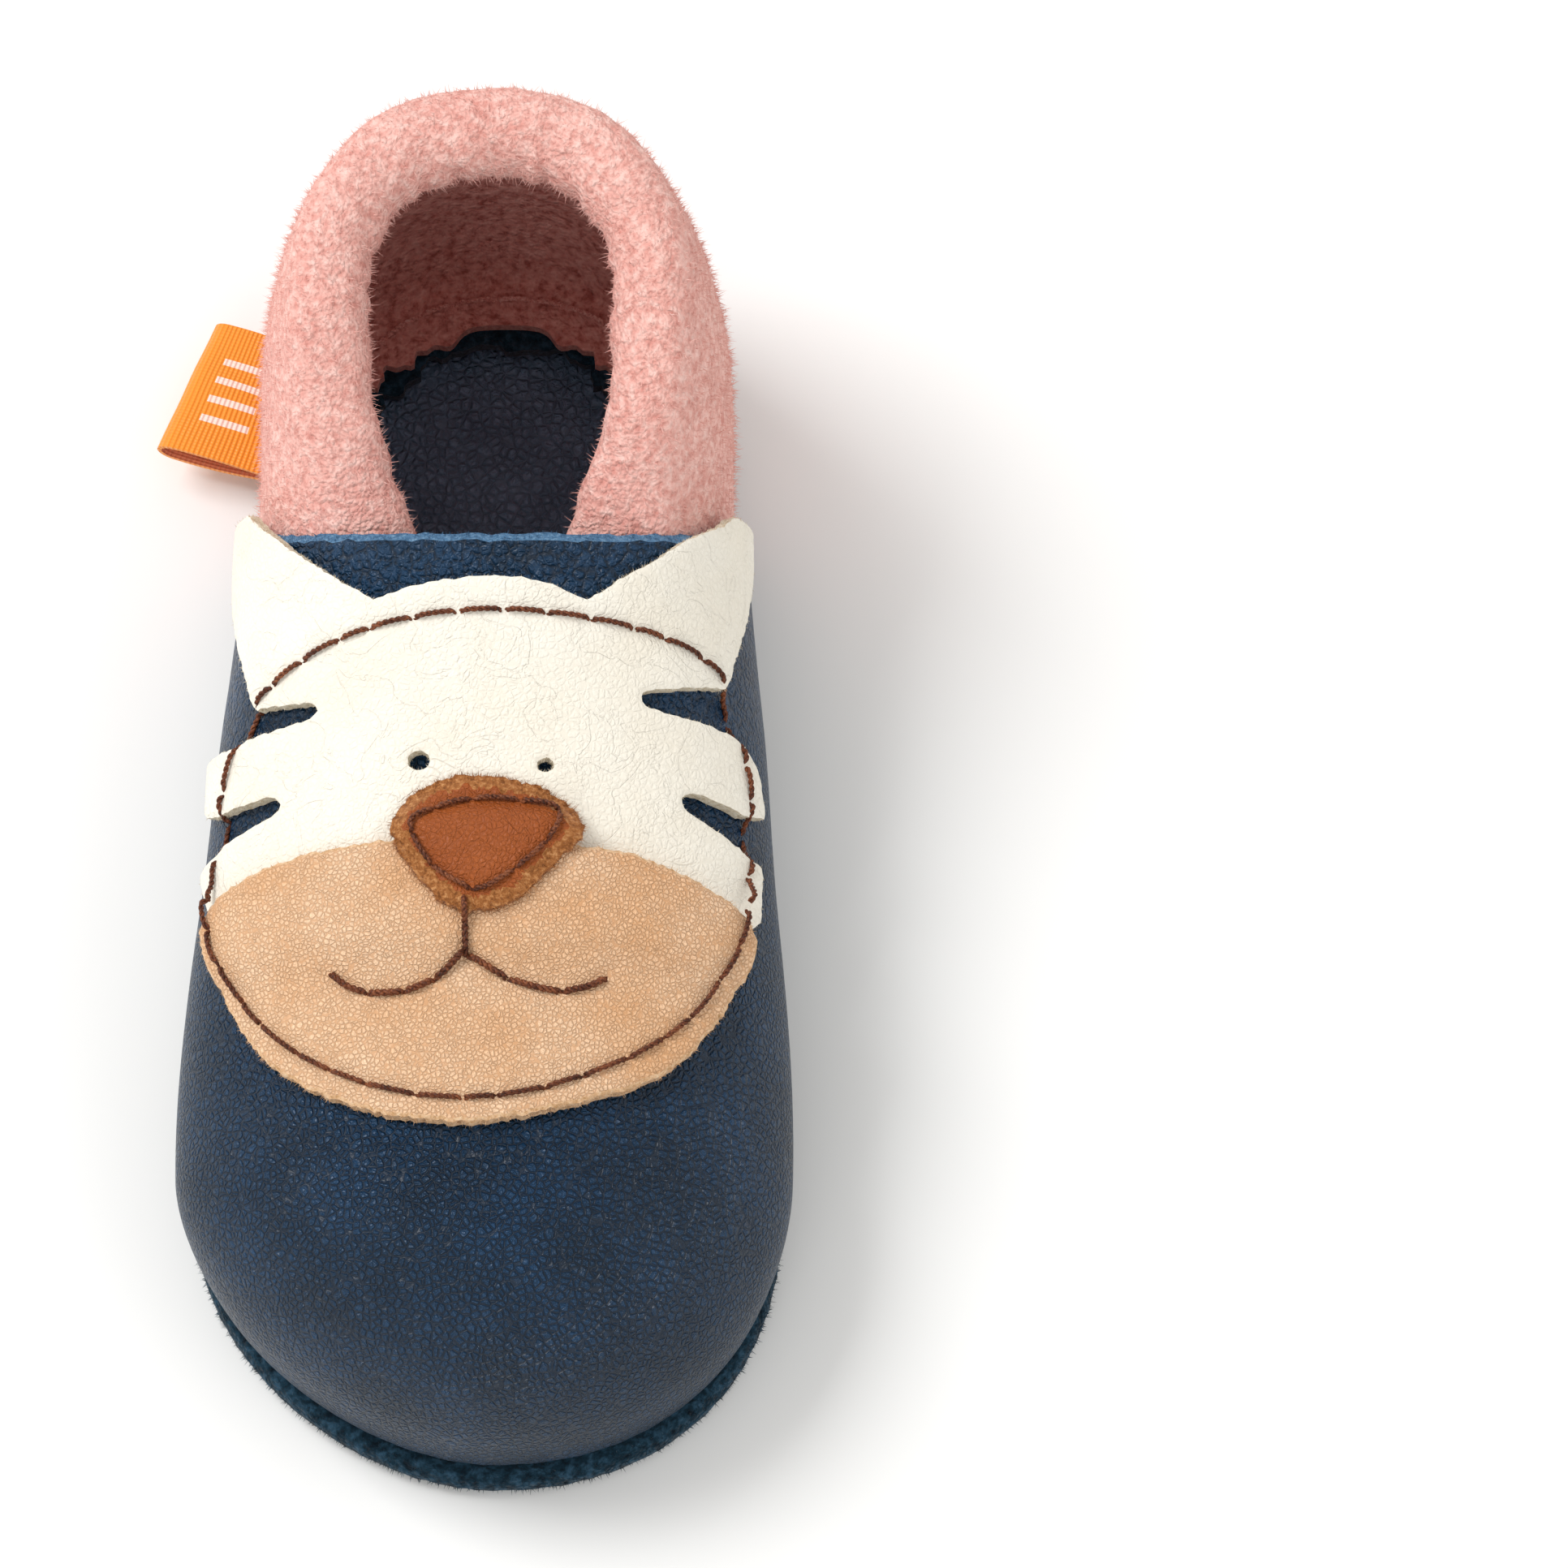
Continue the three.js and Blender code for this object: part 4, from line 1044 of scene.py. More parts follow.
@dataclass(frozen=True)
class WovenRibbon:
    """Polyester taffeta ribbon: fine ribs across, satin gloss, cream stripes woven into the outer face.

    The real ribs are about 0.3 mm apart, too fine to show, so they are drawn at 0.45 mm.
    """

    name: str
    colour: str
    dark: str
    stripe: str
    stripes: bool = True
    rib: float = 0.45

    def material(self) -> bpy.types.Material:
        """Return the material; the "lay" attribute holds millimetres across and along the ribbon."""
        material, tree, shader, at = blank_material(self.name)
        lay = add_node(tree, "Attribute", {"attribute_name": "lay"}).outputs["Vector"]
        split = add_node(tree, "SeparateXYZ", Vector=lay)
        across, down = split.outputs["X"], split.outputs["Y"]
        waves = []
        for value, pitch in ((down, self.rib), (across, self.rib * 0.8)):
            turn = add_node(tree, "Math", {"operation": "MULTIPLY", 1: 2 * math.pi / pitch},
                            in0=value).outputs[0]
            waves.append(add_node(tree, "Math", {"operation": "SINE"}, in0=turn).outputs[0])
        weave = add_node(tree, "Math", {"operation": "MULTIPLY_ADD", 1: 0.45}, in0=waves[1],
                         in2=waves[0]).outputs[0]
        wear = noise(tree, at, 3, 4.0)
        shade = fitted(tree, weave, {1: -1.2, 2: 1.2, 3: 0.4, 4: 0.0})
        colour = add_node(tree, "Mix", {"data_type": "RGBA", 6: linear(self.colour), 7: linear(self.dark)},
                          in0=shade).outputs[2]
        if self.stripes:
            # plain woven bars, kept clear of the ribbon's edges
            bars = add_node(tree, "Math", {"operation": "PINGPONG", 1: 1.1}, in0=across).outputs[0]
            bar = add_node(tree, "Math", {"operation": "GREATER_THAN", 1: 0.72}, in0=bars).outputs[0]
            for value, low, high in ((across, -4.6, 4.6), (down, 3.1, 7.6)):
                for kind, limit in (("GREATER_THAN", low), ("LESS_THAN", high)):
                    edge = add_node(tree, "Math", {"operation": kind, 1: limit}, in0=value).outputs[0]
                    bar = add_node(tree, "Math", {"operation": "MULTIPLY"}, in0=bar, in1=edge).outputs[0]
            bar = add_node(tree, "Math", {"operation": "MULTIPLY", 1: 0.9}, in0=bar).outputs[0]
            colour = add_node(tree, "Mix", {"data_type": "RGBA", 7: linear(self.stripe)}, in0=bar,
                              in6=colour).outputs[2]
        tree.links.new(colour, shader.inputs["Base Color"])
        gloss = fitted(tree, wear, {1: 0.3, 2: 0.7, 3: 0.38, 4: 0.56})
        tree.links.new(gloss, shader.inputs["Roughness"])
        emboss(tree, shader, weave, 0.06, 0.8)
        for socket, value in {"Sheen Weight": 0.2, "Specular IOR Level": 0.4}.items():
            shader.inputs[socket].default_value = value
        return material


@dataclass(frozen=True)
class Webbing:
    """Knitted elastic: matt, ribbed along its length."""

    name: str
    colour: str
    dark: str
    rib: float = 0.7

    def material(self) -> bpy.types.Material:
        """Return the material with its node tree."""
        material, tree, shader, at = blank_material(self.name)
        ribs = add_node(tree, "TexWave", {"bands_direction": "Z", "Scale": 1 / (self.rib * MM * 20),
                                          "Distortion": 0.6},
                        Vector=at).outputs["Fac"]
        colour = add_node(tree, "Mix", {"data_type": "RGBA", 6: linear(self.dark), 7: linear(self.colour)},
                          in0=ribs).outputs[2]
        tree.links.new(colour, shader.inputs["Base Color"])
        emboss(tree, shader, ribs, 0.1)
        shader.inputs["Roughness"].default_value = 0.85
        return material


@dataclass(frozen=True)
class Paper:
    """Seamless studio paper: pale and matt."""

    name: str = "studio paper"
    colour: str = "f6f6f5"

    def material(self) -> bpy.types.Material:
        """Return the material with its node tree."""
        material, tree, shader, at = blank_material(self.name)
        tooth = add_node(tree, "TexNoise", {"Scale": 400.0, "Detail": 3.0}, Vector=at).outputs["Fac"]
        emboss(tree, shader, tooth, 0.02, 0.3)
        shader.inputs["Base Color"].default_value = linear(self.colour)
        shader.inputs["Roughness"].default_value = 0.9
        return material


class Hide(Enum):
    """The leathers, threads and ribbons that the bootie is made of."""

    # the third colour of each grain leather is painted shade for the creases between its pebbles
    NAVY = GrainLeather("navy pebble-grain cowhide", "082c47", "030c17", "103b5e", cell=0.75, depth=0.38,
                        roughness=0.34, coarse_from=-22.0, crease_shade_mix=0.75, specular=0.4)
    NAVY_FLESH = Suede("navy flesh side", "1c2937", "101923", "28394a", sheen=0.1)
    NAVY_RAW = CutEdge("navy hide, cut edge", "4f7ea6", "2a4d6b", "86abc8")
    SOLE_SUEDE = Suede("navy suede", "15303f", "061722", "2f4e63", nap=0.5, depth=0.4, sheen=0.12)
    # painted light: the navy footbed is coloured far lighter than its leather, standing in for light that the
    # collar's shadow keeps out
    FOOTBED = GrainLeather("navy milled footbed leather", "6884a2", "33475c", "7c9cbc", cell=1.1, depth=0.35,
                           roughness=0.45, crease_shade_mix=0.4, specular=0.5)
    SOLE_RAW = CutEdge("navy suede, cut edge", "263a4c", "10202e", "456078")
    PINK = Suede("pink suede", "eeb5aa", "dc988d", "fbd0c6", nap=0.45, depth=0.55, sheen=0.12,
                 sheen_tint="ffe0d8")
    PINK_INSIDE = Suede("pink suede, inner side", "e09d92", "b56a60", "f2b9ae", nap=0.5, depth=0.5,
                        sheen=0.05)
    PINK_NAP = CutEdge("pink suede, raised fibres", "f4beb3", "e09c91", "ffe0d8")
    PINK_RAW = CutEdge("pink suede, cut edge", "e6a79b", "c47b71", "f8cfc6")
    WHITE = GrainLeather("white nappa", "f1eadb", "d6ccb8", "f5f0e4", cell=0.7, depth=0.06, roughness=0.52,
                         crease_shade_mix=0.14, specular=0.3, wrinkle=0.8)
    WHITE_FLESH = Suede("white flesh side", "e9e0cf", "cdbfa6", "f5efe2", sheen=0.05)
    WHITE_RAW = CutEdge("white nappa, cut edge", "e6dac2", "bfa983", "f6efdf")
    TAN = GrainLeather("natural tan cowhide", "edbc90", "b57f4f", "f8d2ae", cell=0.45, depth=0.14,
                       roughness=0.55, crease_shade_mix=0.6, specular=0.25)
    TAN_FLESH = Suede("tan flesh side", "e0b791", "b98a60", "f0d0b0", sheen=0.05)
    TAN_RAW = CutEdge("tan cowhide, cut edge", "e3b98f", "b3834f", "f5d8b4")
    BROWN = GrainLeather("russet cowhide", "994c1c", "733510", "a75824", cell=0.55, depth=0.1, roughness=0.48,
                         crease_shade_mix=0.3, specular=0.3, wrinkle=0.6)
    BROWN_FLESH = Suede("russet flesh side", "a0622f", "7c4519", "bd7d45", sheen=0.05)
    BROWN_RAW = CutEdge("russet cowhide, frayed edge", "a86a38", "6c3d18", "d8a06a")
    BROWN_THREAD = Yarn("brown bonded thread", "60301a", "33170b", "8a5030")
    NAVY_THREAD = Yarn("navy bonded thread", "26333f", "141d26", "3a4a58")
    PINK_THREAD = Yarn("pink bonded thread", "e2a196", "bf7a70", "f4c6bd")
    ORANGE = WovenRibbon("orange taffeta ribbon", "ff9c26", "d9730b", "ffe4da")
    ORANGE_BACK = WovenRibbon("orange taffeta ribbon, back", "f3936a", "d4744a", "ffe4da", stripes=False)
    ELASTIC = Webbing("knitted elastic", "e9e6df", "bfbab0")

    def made(self) -> bpy.types.Material:
        """Return this hide's material, made the first time it is asked for."""
        return bpy.data.materials.get(self.value.name) or self.value.material()


def dress(piece: bpy.types.Object, hides: Sequence[Hide], nodes: Sequence[str] = ()) -> None:
    """Give a piece its finishes and hide the solid pieces that it stands for."""
    for hide in hides:
        piece.data.materials.append(hide.made())
    if nodes:
        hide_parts(*nodes)
    LOG.info("%s: %d faces", piece.name, len(piece.data.polygons))


@dataclass
class Sole:
    """Navy suede sole: a flat sheet, rolled up to the seam and turned in over the footbed."""

    leather: float = 1.2
    edge: float = 3.3
    heel_raise: float = 1.5
    allowance: float = 6.0
    seam_allowance_in: float = 2.0
    stations: int = 190
    rough: float = 0.13

    def _ring(self) -> list[tuple[int, np.ndarray]]:
        """Return the shares of the outline on each side, in order round the sole."""
        shares = np.linspace(0, 1, self.stations)
        return [(1, shares), (-1, shares[1:-1][::-1])]

    def _rows(self, side: int, shares: np.ndarray) -> tuple[np.ndarray, np.ndarray]:
        """Return the outer and inner points of the rows on one side."""
        outer, inner = [], []
        sl = LAST.slices(side, shares)
        y = sl.rim_y()
        raise_by = ease((y - 60) / 5) if side < 0 else ease((y - 42) / 6)
        for k in range(len(shares)):
            s, at_y = one(sl, k), y[k]
            edge = self.edge + raise_by[k] * self.heel_raise
            half = self.leather / 2
            radius, turn = edge / 2 - half, s.reach - edge / 2
            wave = 0.6 * math.sin(at_y * 0.9) + 0.4 * math.sin(at_y * 2.3 + side)
            wave += 0.25 * math.sin(at_y * 5.1)
            t = np.linspace(-math.pi / 2, math.pi / 2, 13)
            inward = np.linspace(0, 1, 8)[1:]
            r = np.concatenate([turn * np.linspace(0, 0.985, 26), turn + radius * np.cos(t),
                                turn - (self.allowance - wave) * inward])
            z = np.concatenate([np.full(26, half), edge / 2 + radius * np.sin(t), np.full(7, edge - half)])
            z[-7:] += 0.18 * np.sin(at_y * 1.3 + 2.5 * inward) * inward
            o, i = thicken(s, r, z, half)
            outer.append(o[::-1])
            inner.append(i[::-1])
        return np.array(outer), np.array(inner)

    def build(self) -> bpy.types.Object:
        """Shape and dress the sole."""
        rows = [self._rows(side, shares) for side, shares in self._ring()]
        outer, inner = (np.concatenate([r[i] for r in rows]) for i in (0, 1))
        lift = self.rough * (ripple(outer, 1.9, 4) + 0.8 * ripple(outer, 0.9, 9))
        side_on = ease((outer[..., 2] - 0.5) / 1.2)[..., None]
        away = outer - inner
        away = unit(away)
        outer = outer + away * (lift[..., None] * side_on)
        shell = Shell("sole_leather")
        add_skin(shell, outer, inner, ring=True, spine=True)
        band = outer[:, 8:16]
        roots, normals = scatter(band, 7000, 21)
        facing = np.sum(normals * (roots - [0, 0, roots[:, 2].mean()]) * [1, 1, 0], 1) > 0
        normals = np.where(facing[:, None], normals, -normals)
        add_nap(shell, roots, normals, (0.25, 0.75), radius=0.05, seed=22)
        piece = shell.build()
        dress(piece, (Hide.SOLE_SUEDE, Hide.FOOTBED, Hide.SOLE_RAW), ["sole"])
        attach(piece, "bootie")
        return piece

    def build_seam(self) -> bpy.types.Object:
        """Sew the turned-in edges: stitches seen inside, round the footbed."""
        chain = []
        for side, shares in ((-1, np.linspace(0.012, 1, 240)), (1, np.linspace(1, 0, 240))):
            sl = LAST.slices(side, shares)
            y = sl.rim_y()
            low = LAST.seam_z - LAYER.vamp_in
            z = low + (LAYER.vamp_in - LAYER.quarter_out + LAYER.leather) * ease((y + 2) / 6)
            z = np.maximum(np.where(y < 0, low, LAST.seam_z - LAYER.quarter_out + LAYER.leather), z)
            chain.append(sl.place(sl.seam - self.seam_allowance_in, z + 0.1))
        chain = np.concatenate(chain)
        piece = Stitching("sole_seam_stitches", chain, np.tile([0.0, 0.0, 1.0], (len(chain), 1)), stitch=4.0,
                          dive=0.5).build()
        for face in piece.data.polygons:
            face.material_index = int(face.center.y > 4 * MM)  # the bobbin thread matches the pink suede
        dress(piece, (Hide.NAVY_THREAD, Hide.PINK_THREAD), ["sole_seam_thread"])
        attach(piece, "bootie")
        return piece


@dataclass
class Vamp:
    """Navy leather over the toes, its lower edge turned in to the seam, its rear edge left raw on a slant."""

    flange: float = 4.0
    toe_rows: int = 40
    rows: int = 118
    columns: int = 84
    skive: float = 0.62  # how far the raw edge is cut back at its top
    ragged: float = 0.22
    pucker: float = 0.16

    def _throat(self, side: int, u: np.ndarray, d: float) -> np.ndarray:
        """Return the place along the foot where the slanted rear edge crosses each column."""
        y = np.full(u.shape, 30.0)
        for _ in range(40):
            z = LAST.slices_at(side, y).at(np.maximum(u, -1), d)[..., 2]
            y = 0.5 * y + 0.5 * np.minimum(LAST.throat_y + LAST.slant * (LAST.throat_height - z), 40)
        return y

    def _half(self, side: int, d: float, cut_back: float) -> np.ndarray:
        """Return one face of half the vamp, rows from the toe back, columns from the flange to the crest."""
        u = np.concatenate([np.full(4, -1.0), np.linspace(-1, 1, self.columns)])
        inward = np.concatenate([np.linspace(1, 0.25, 4), np.zeros(self.columns)]) * self.flange
        end = self._throat(side, u, d) - cut_back
        toe = LAST.share_at(side, LAST.toe_spine) * np.linspace(0, 1, self.toe_rows, endpoint=False)
        back = np.linspace(0, 1, self.rows)[:, None]
        straight = LAST.share_at(side, LAST.toe_spine + (end - LAST.toe_spine) * back)
        share = np.concatenate([np.repeat(toe[:, None], len(u), 1), straight])
        sl = LAST.slices(side, share)
        r, z = sl.offset(np.broadcast_to(u, share.shape), d)
        y = sl.rim_y()
        # the leather is eased in round the toe, so it puckers a little above the seam
        low = ease(1 - (u + 1) / 0.55) * ease((-12 - y) / 25)
        around = share * 150
        r = r + self.pucker * low * np.sin(around * 1.65 + 0.8 * np.sin(around * 0.4)) - inward
        return sl.place(r, z)

    def _wrinkled(self, points: np.ndarray) -> np.ndarray:
        """Add the soft unevenness of worn-in leather: slow waves, and shallow creases by the throat."""
        slow = 0.16 * ripple(points, 24, 2) + 0.09 * ripple(points, 9, 6)
        y, x = points[..., 1], points[..., 0]
        creases = 0.07 * ripple(np.stack([x * 0.35, y, y * 0], -1), 3.4, 5) * ease((y + 8) / 22)
        moved = points.copy()
        moved[..., 2] += (slow + creases) * ease((points[..., 2] - 7) / 8)
        return moved

    def build(self) -> bpy.types.Object:
        """Shape and dress the vamp."""
        faces = {}
        for name, d, back in (("outer", LAYER.vamp_out, self.skive), ("inner", LAYER.vamp_in, 0.0)):
            left, right = self._half(-1, d, back), self._half(1, d, back)
            faces[name] = self._wrinkled(np.concatenate([left[1:][::-1], right]))
        outer, inner = faces["outer"], faces["inner"]
        for row in (0, -1):
            p = inner[row]
            frayed = self.ragged * (ripple(p, 2.3, 3) + 0.7 * ripple(p, 0.9, 8))
            outer[row, :, 1] += frayed + 0.1 * random_signed(len(p), 31 + row)
            inner[row, :, 1] += 0.6 * frayed + 0.1 * random_signed(len(p), 41 + row)
        shell = Shell("vamp_leather")
        add_skin(shell, outer, inner, spine=True)
        for row, seed in ((0, 61), (-1, 62)):
            edge = np.stack([outer[row, 6:], inner[row, 6:]])
            roots, normals = scatter(edge, 900, seed)
            normals = np.where(normals[:, 1:2] < 0, -normals, normals)
            add_nap(shell, roots, normals, (0.2, 0.6), radius=0.05, finish=2, seed=seed + 2)
        piece = shell.build(sharp=40)
        dress(piece, (Hide.NAVY, Hide.NAVY_FLESH, Hide.NAVY_RAW), ["vamp"])
        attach(piece, "bootie")
        return piece


@dataclass
class HeelQuarter:
    """Pink suede wall and collar: the top folds in round the elastic and is stitched down."""

    front: float = 6.0
    leather: float = 1.2
    mid: float = -0.5
    casing: float = 8.0
    flap: float = 3.0
    flange: float = 5.2
    straight: int = 62
    heel: int = 56
    gather: float = 0.32
    fibres: int = 26000
    nap_from: int = 16  # the lowest column with a nap: those below it are turned in
    roll_from: int = 26  # from this column of the napped ones on, the nap is thicker: that is the roll
    roll_drop: float = 7.0
    roll_z: Pairs = ((6, 33.5), (21, 35.5), (42, 46), (67, 51))
    roll_reach: Pairs = ((6, 25), (21, 22), (36, 14.5), (67, 13))
    roll_rise: Pairs = ((6, 3), (21, 4.5), (34, 8), (67, 8.2))
    puff: Pairs = ((6, 0), (21, 0.3), (42, 2.2), (67, 3.4))  # how far the full roll leans out past the wall

    def _shares(self, side: int) -> np.ndarray:
        """Return the shares of the outline, front to heel."""
        straight = LAST.share_at(side, np.linspace(self.front, LAST.heel_spine, self.straight))
        return np.concatenate([straight, np.linspace(straight[-1], 1, self.heel + 1)[1:]])

    def _stations(self) -> Iterator[tuple[Slices, float, float]]:
        """Give the slices round the collar, outer arm to inner arm, each with its place and its walk."""
        for side in (-1, 1):
            shares = self._shares(side)
            sl = LAST.slices(side, shares)
            y = sl.rim_y()
            for k in range(len(shares)) if side < 0 else range(len(shares) - 2, -1, -1):
                yield one(sl, k), float(y[k]), shares[k] * 150 * side

    def _fold(self, s: Slices, y: float) -> dict[str, np.ndarray]:
        """Return the collar's curve in one slice: its start, its two handles, its end and the flap's end."""
        us = np.linspace(-1, 1, 1600)
        r, z = s.form(us)
        walked = np.concatenate([[0], np.cumsum(np.hypot(np.diff(r), np.diff(z)))])
        upper = us > 0
        top = float(np.interp(along(self.roll_z, y), z[upper], us[upper]))
        low = float(np.interp(np.interp(top, us, walked) - self.casing, walked, us))
        tail = float(np.interp(np.interp(low, us, walked) - self.flap, walked, us))
        inner = self.mid - self.leather - LAYER.gap - 0.05
        start, end, tip = (np.array(s.offset(np.array(u), d)).ravel()
                           for u, d in ((top, self.mid), (low, inner), (tail, inner)))
        lean = np.array([float(along(self.puff, y)), 0])
        start = start + 0.35 * lean
        run_top, run_low = (np.array(s.tangent(np.array(u))).ravel() for u in (top, low))
        above = start + 0.65 * lean + run_top * along(self.roll_rise, y)
        within = end + run_low * self.roll_drop - np.array([along(self.roll_reach, y), 0])
        return {"top": np.array(top), "lean": lean, "start": start, "above": above, "within": within,
                "end": end, "tail": tip, "run": run_low}

    def _path(self, s: Slices, y: float) -> tuple[np.ndarray, np.ndarray, np.ndarray]:
        """Return distance and height along one slice, and how far into the roll each point is."""
        fold = self._fold(s, y)
        wave = 0.7 * math.sin(y * 0.55 + 1) + 0.5 * math.sin(y * 1.7) + 0.3 * math.sin(y * 3.9)
        r0, z0 = (float(v) for v in s.offset(np.array(-1.0), self.mid))
        inward = np.linspace(1, 0, 8)[:-1]
        top = float(fold["top"])
        wall = np.linspace(-1, top, 44)
        wr, wz = s.offset(wall, self.mid)
        wr = wr + 0.35 * fold["lean"][0] * ease((wall - top + 0.8) / 0.8)
        t = np.linspace(0, 1, 34)[1:, None]
        roll = ((1 - t) ** 3 * fold["start"] + 3 * (1 - t) ** 2 * t * fold["above"]
                + 3 * (1 - t) * t * t * fold["within"] + t**3 * fold["end"])
        flap = fold["end"] + (fold["tail"] - fold["end"]) * np.linspace(0, 1, 5)[1:, None]
        r = np.concatenate([r0 - (self.flange - wave) * inward, wr, roll[:, 0], flap[:, 0]])
        z = np.concatenate([np.full(7, z0), wz, roll[:, 1], flap[:, 1]])
        nearing = np.clip((wall - top + 0.35) / 0.35, 0, 1) * 0.15
        into = np.concatenate([np.zeros(7), nearing, 0.15 + 0.85 * t[:, 0], np.ones(4)])
        return r, z, into

    def _grid(self) -> tuple[np.ndarray, np.ndarray, np.ndarray]:
        """Return outer points, inner points and the roll measure, a row for each station."""
        outer, inner, depth = [], [], []
        for s, y, walk in self._stations():
            r, z, into = self._path(s, y)
            pull = np.sin(walk * 1.05 + 1.2 * math.sin(walk * 0.31)) + 0.5 * math.sin(walk * 2.1 + 1)
            held = np.exp(-(((into - 1) / 0.35) ** 2)) * (into > 0.2)
            o, i = thicken(s, r - self.gather * pull * held, z, self.leather / 2)
            outer.append(o)
            inner.append(i)
            depth.append(into)
        return np.array(outer), np.array(inner), np.array(depth)

    def build(self) -> bpy.types.Object:
        """Shape and dress the heel quarter, with its nap."""
        outer, inner, into = self._grid()
        away = outer - inner
        away = unit(away)
        soft = 0.28 * ripple(outer, 13, 3) + 0.12 * ripple(outer, 4.5, 7) + 0.07 * ripple(outer, 1.6, 1)
        seen = ease((outer[..., 2] - 9) / 6) * (0.35 + 0.65 * ease(into * 3))
        outer = outer + away * (soft * seen)[..., None]
        shell = Shell("heel_quarter_suede")
        add_skin(shell, outer, inner)
        self._add_fibres(shell, outer)
        piece = shell.build(sharp=45)
        dress(piece, (Hide.PINK, Hide.PINK_INSIDE, Hide.PINK_RAW, Hide.PINK_NAP),
              ["heel_quarter"])
        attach(piece, "bootie")
        return piece

    def _add_fibres(self, shell: Shell, outer: np.ndarray) -> None:
        """Raise the nap: thousands of short fibres over wall and roll, brushed slightly down."""
        band = outer[:, self.nap_from :]
        cells = np.ones((band.shape[0] - 1, band.shape[1] - 1))
        cells[:, self.roll_from :] = 1.5
        roots, normals = scatter(band, self.fibres, 5, cells)
        add_nap(shell, roots, -normals, (0.35, 1.25), radius=0.055, lean=1.1, comb=(0, 0, -0.2),
                finish=3, seed=6)

    def build_casing_seam(self) -> bpy.types.Object:
        """Stitch the folded collar down, seen on the inside."""
        chain, up = [], []
        below, d = 1.2, self.leather / 2
        for s, y, _ in self._stations():
            fold = self._fold(s, y)
            (tr, tz), (er, ez) = fold["run"], fold["end"]
            chain.append(s.place(er - tz * d - tr * below, ez + tr * d - tz * below))
            up.append(s.place(er - tz * (d + 1) - tr * below, ez + tr * (d + 1) - tz * below) - chain[-1])
        piece = Stitching("casing_stitches", np.array(chain), np.array(up), stitch=3.6, ply=0.17,
                          dive=0.6).build()
        dress(piece, (Hide.PINK_THREAD,), ["casing_thread"])
        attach(piece, "bootie")
        return piece


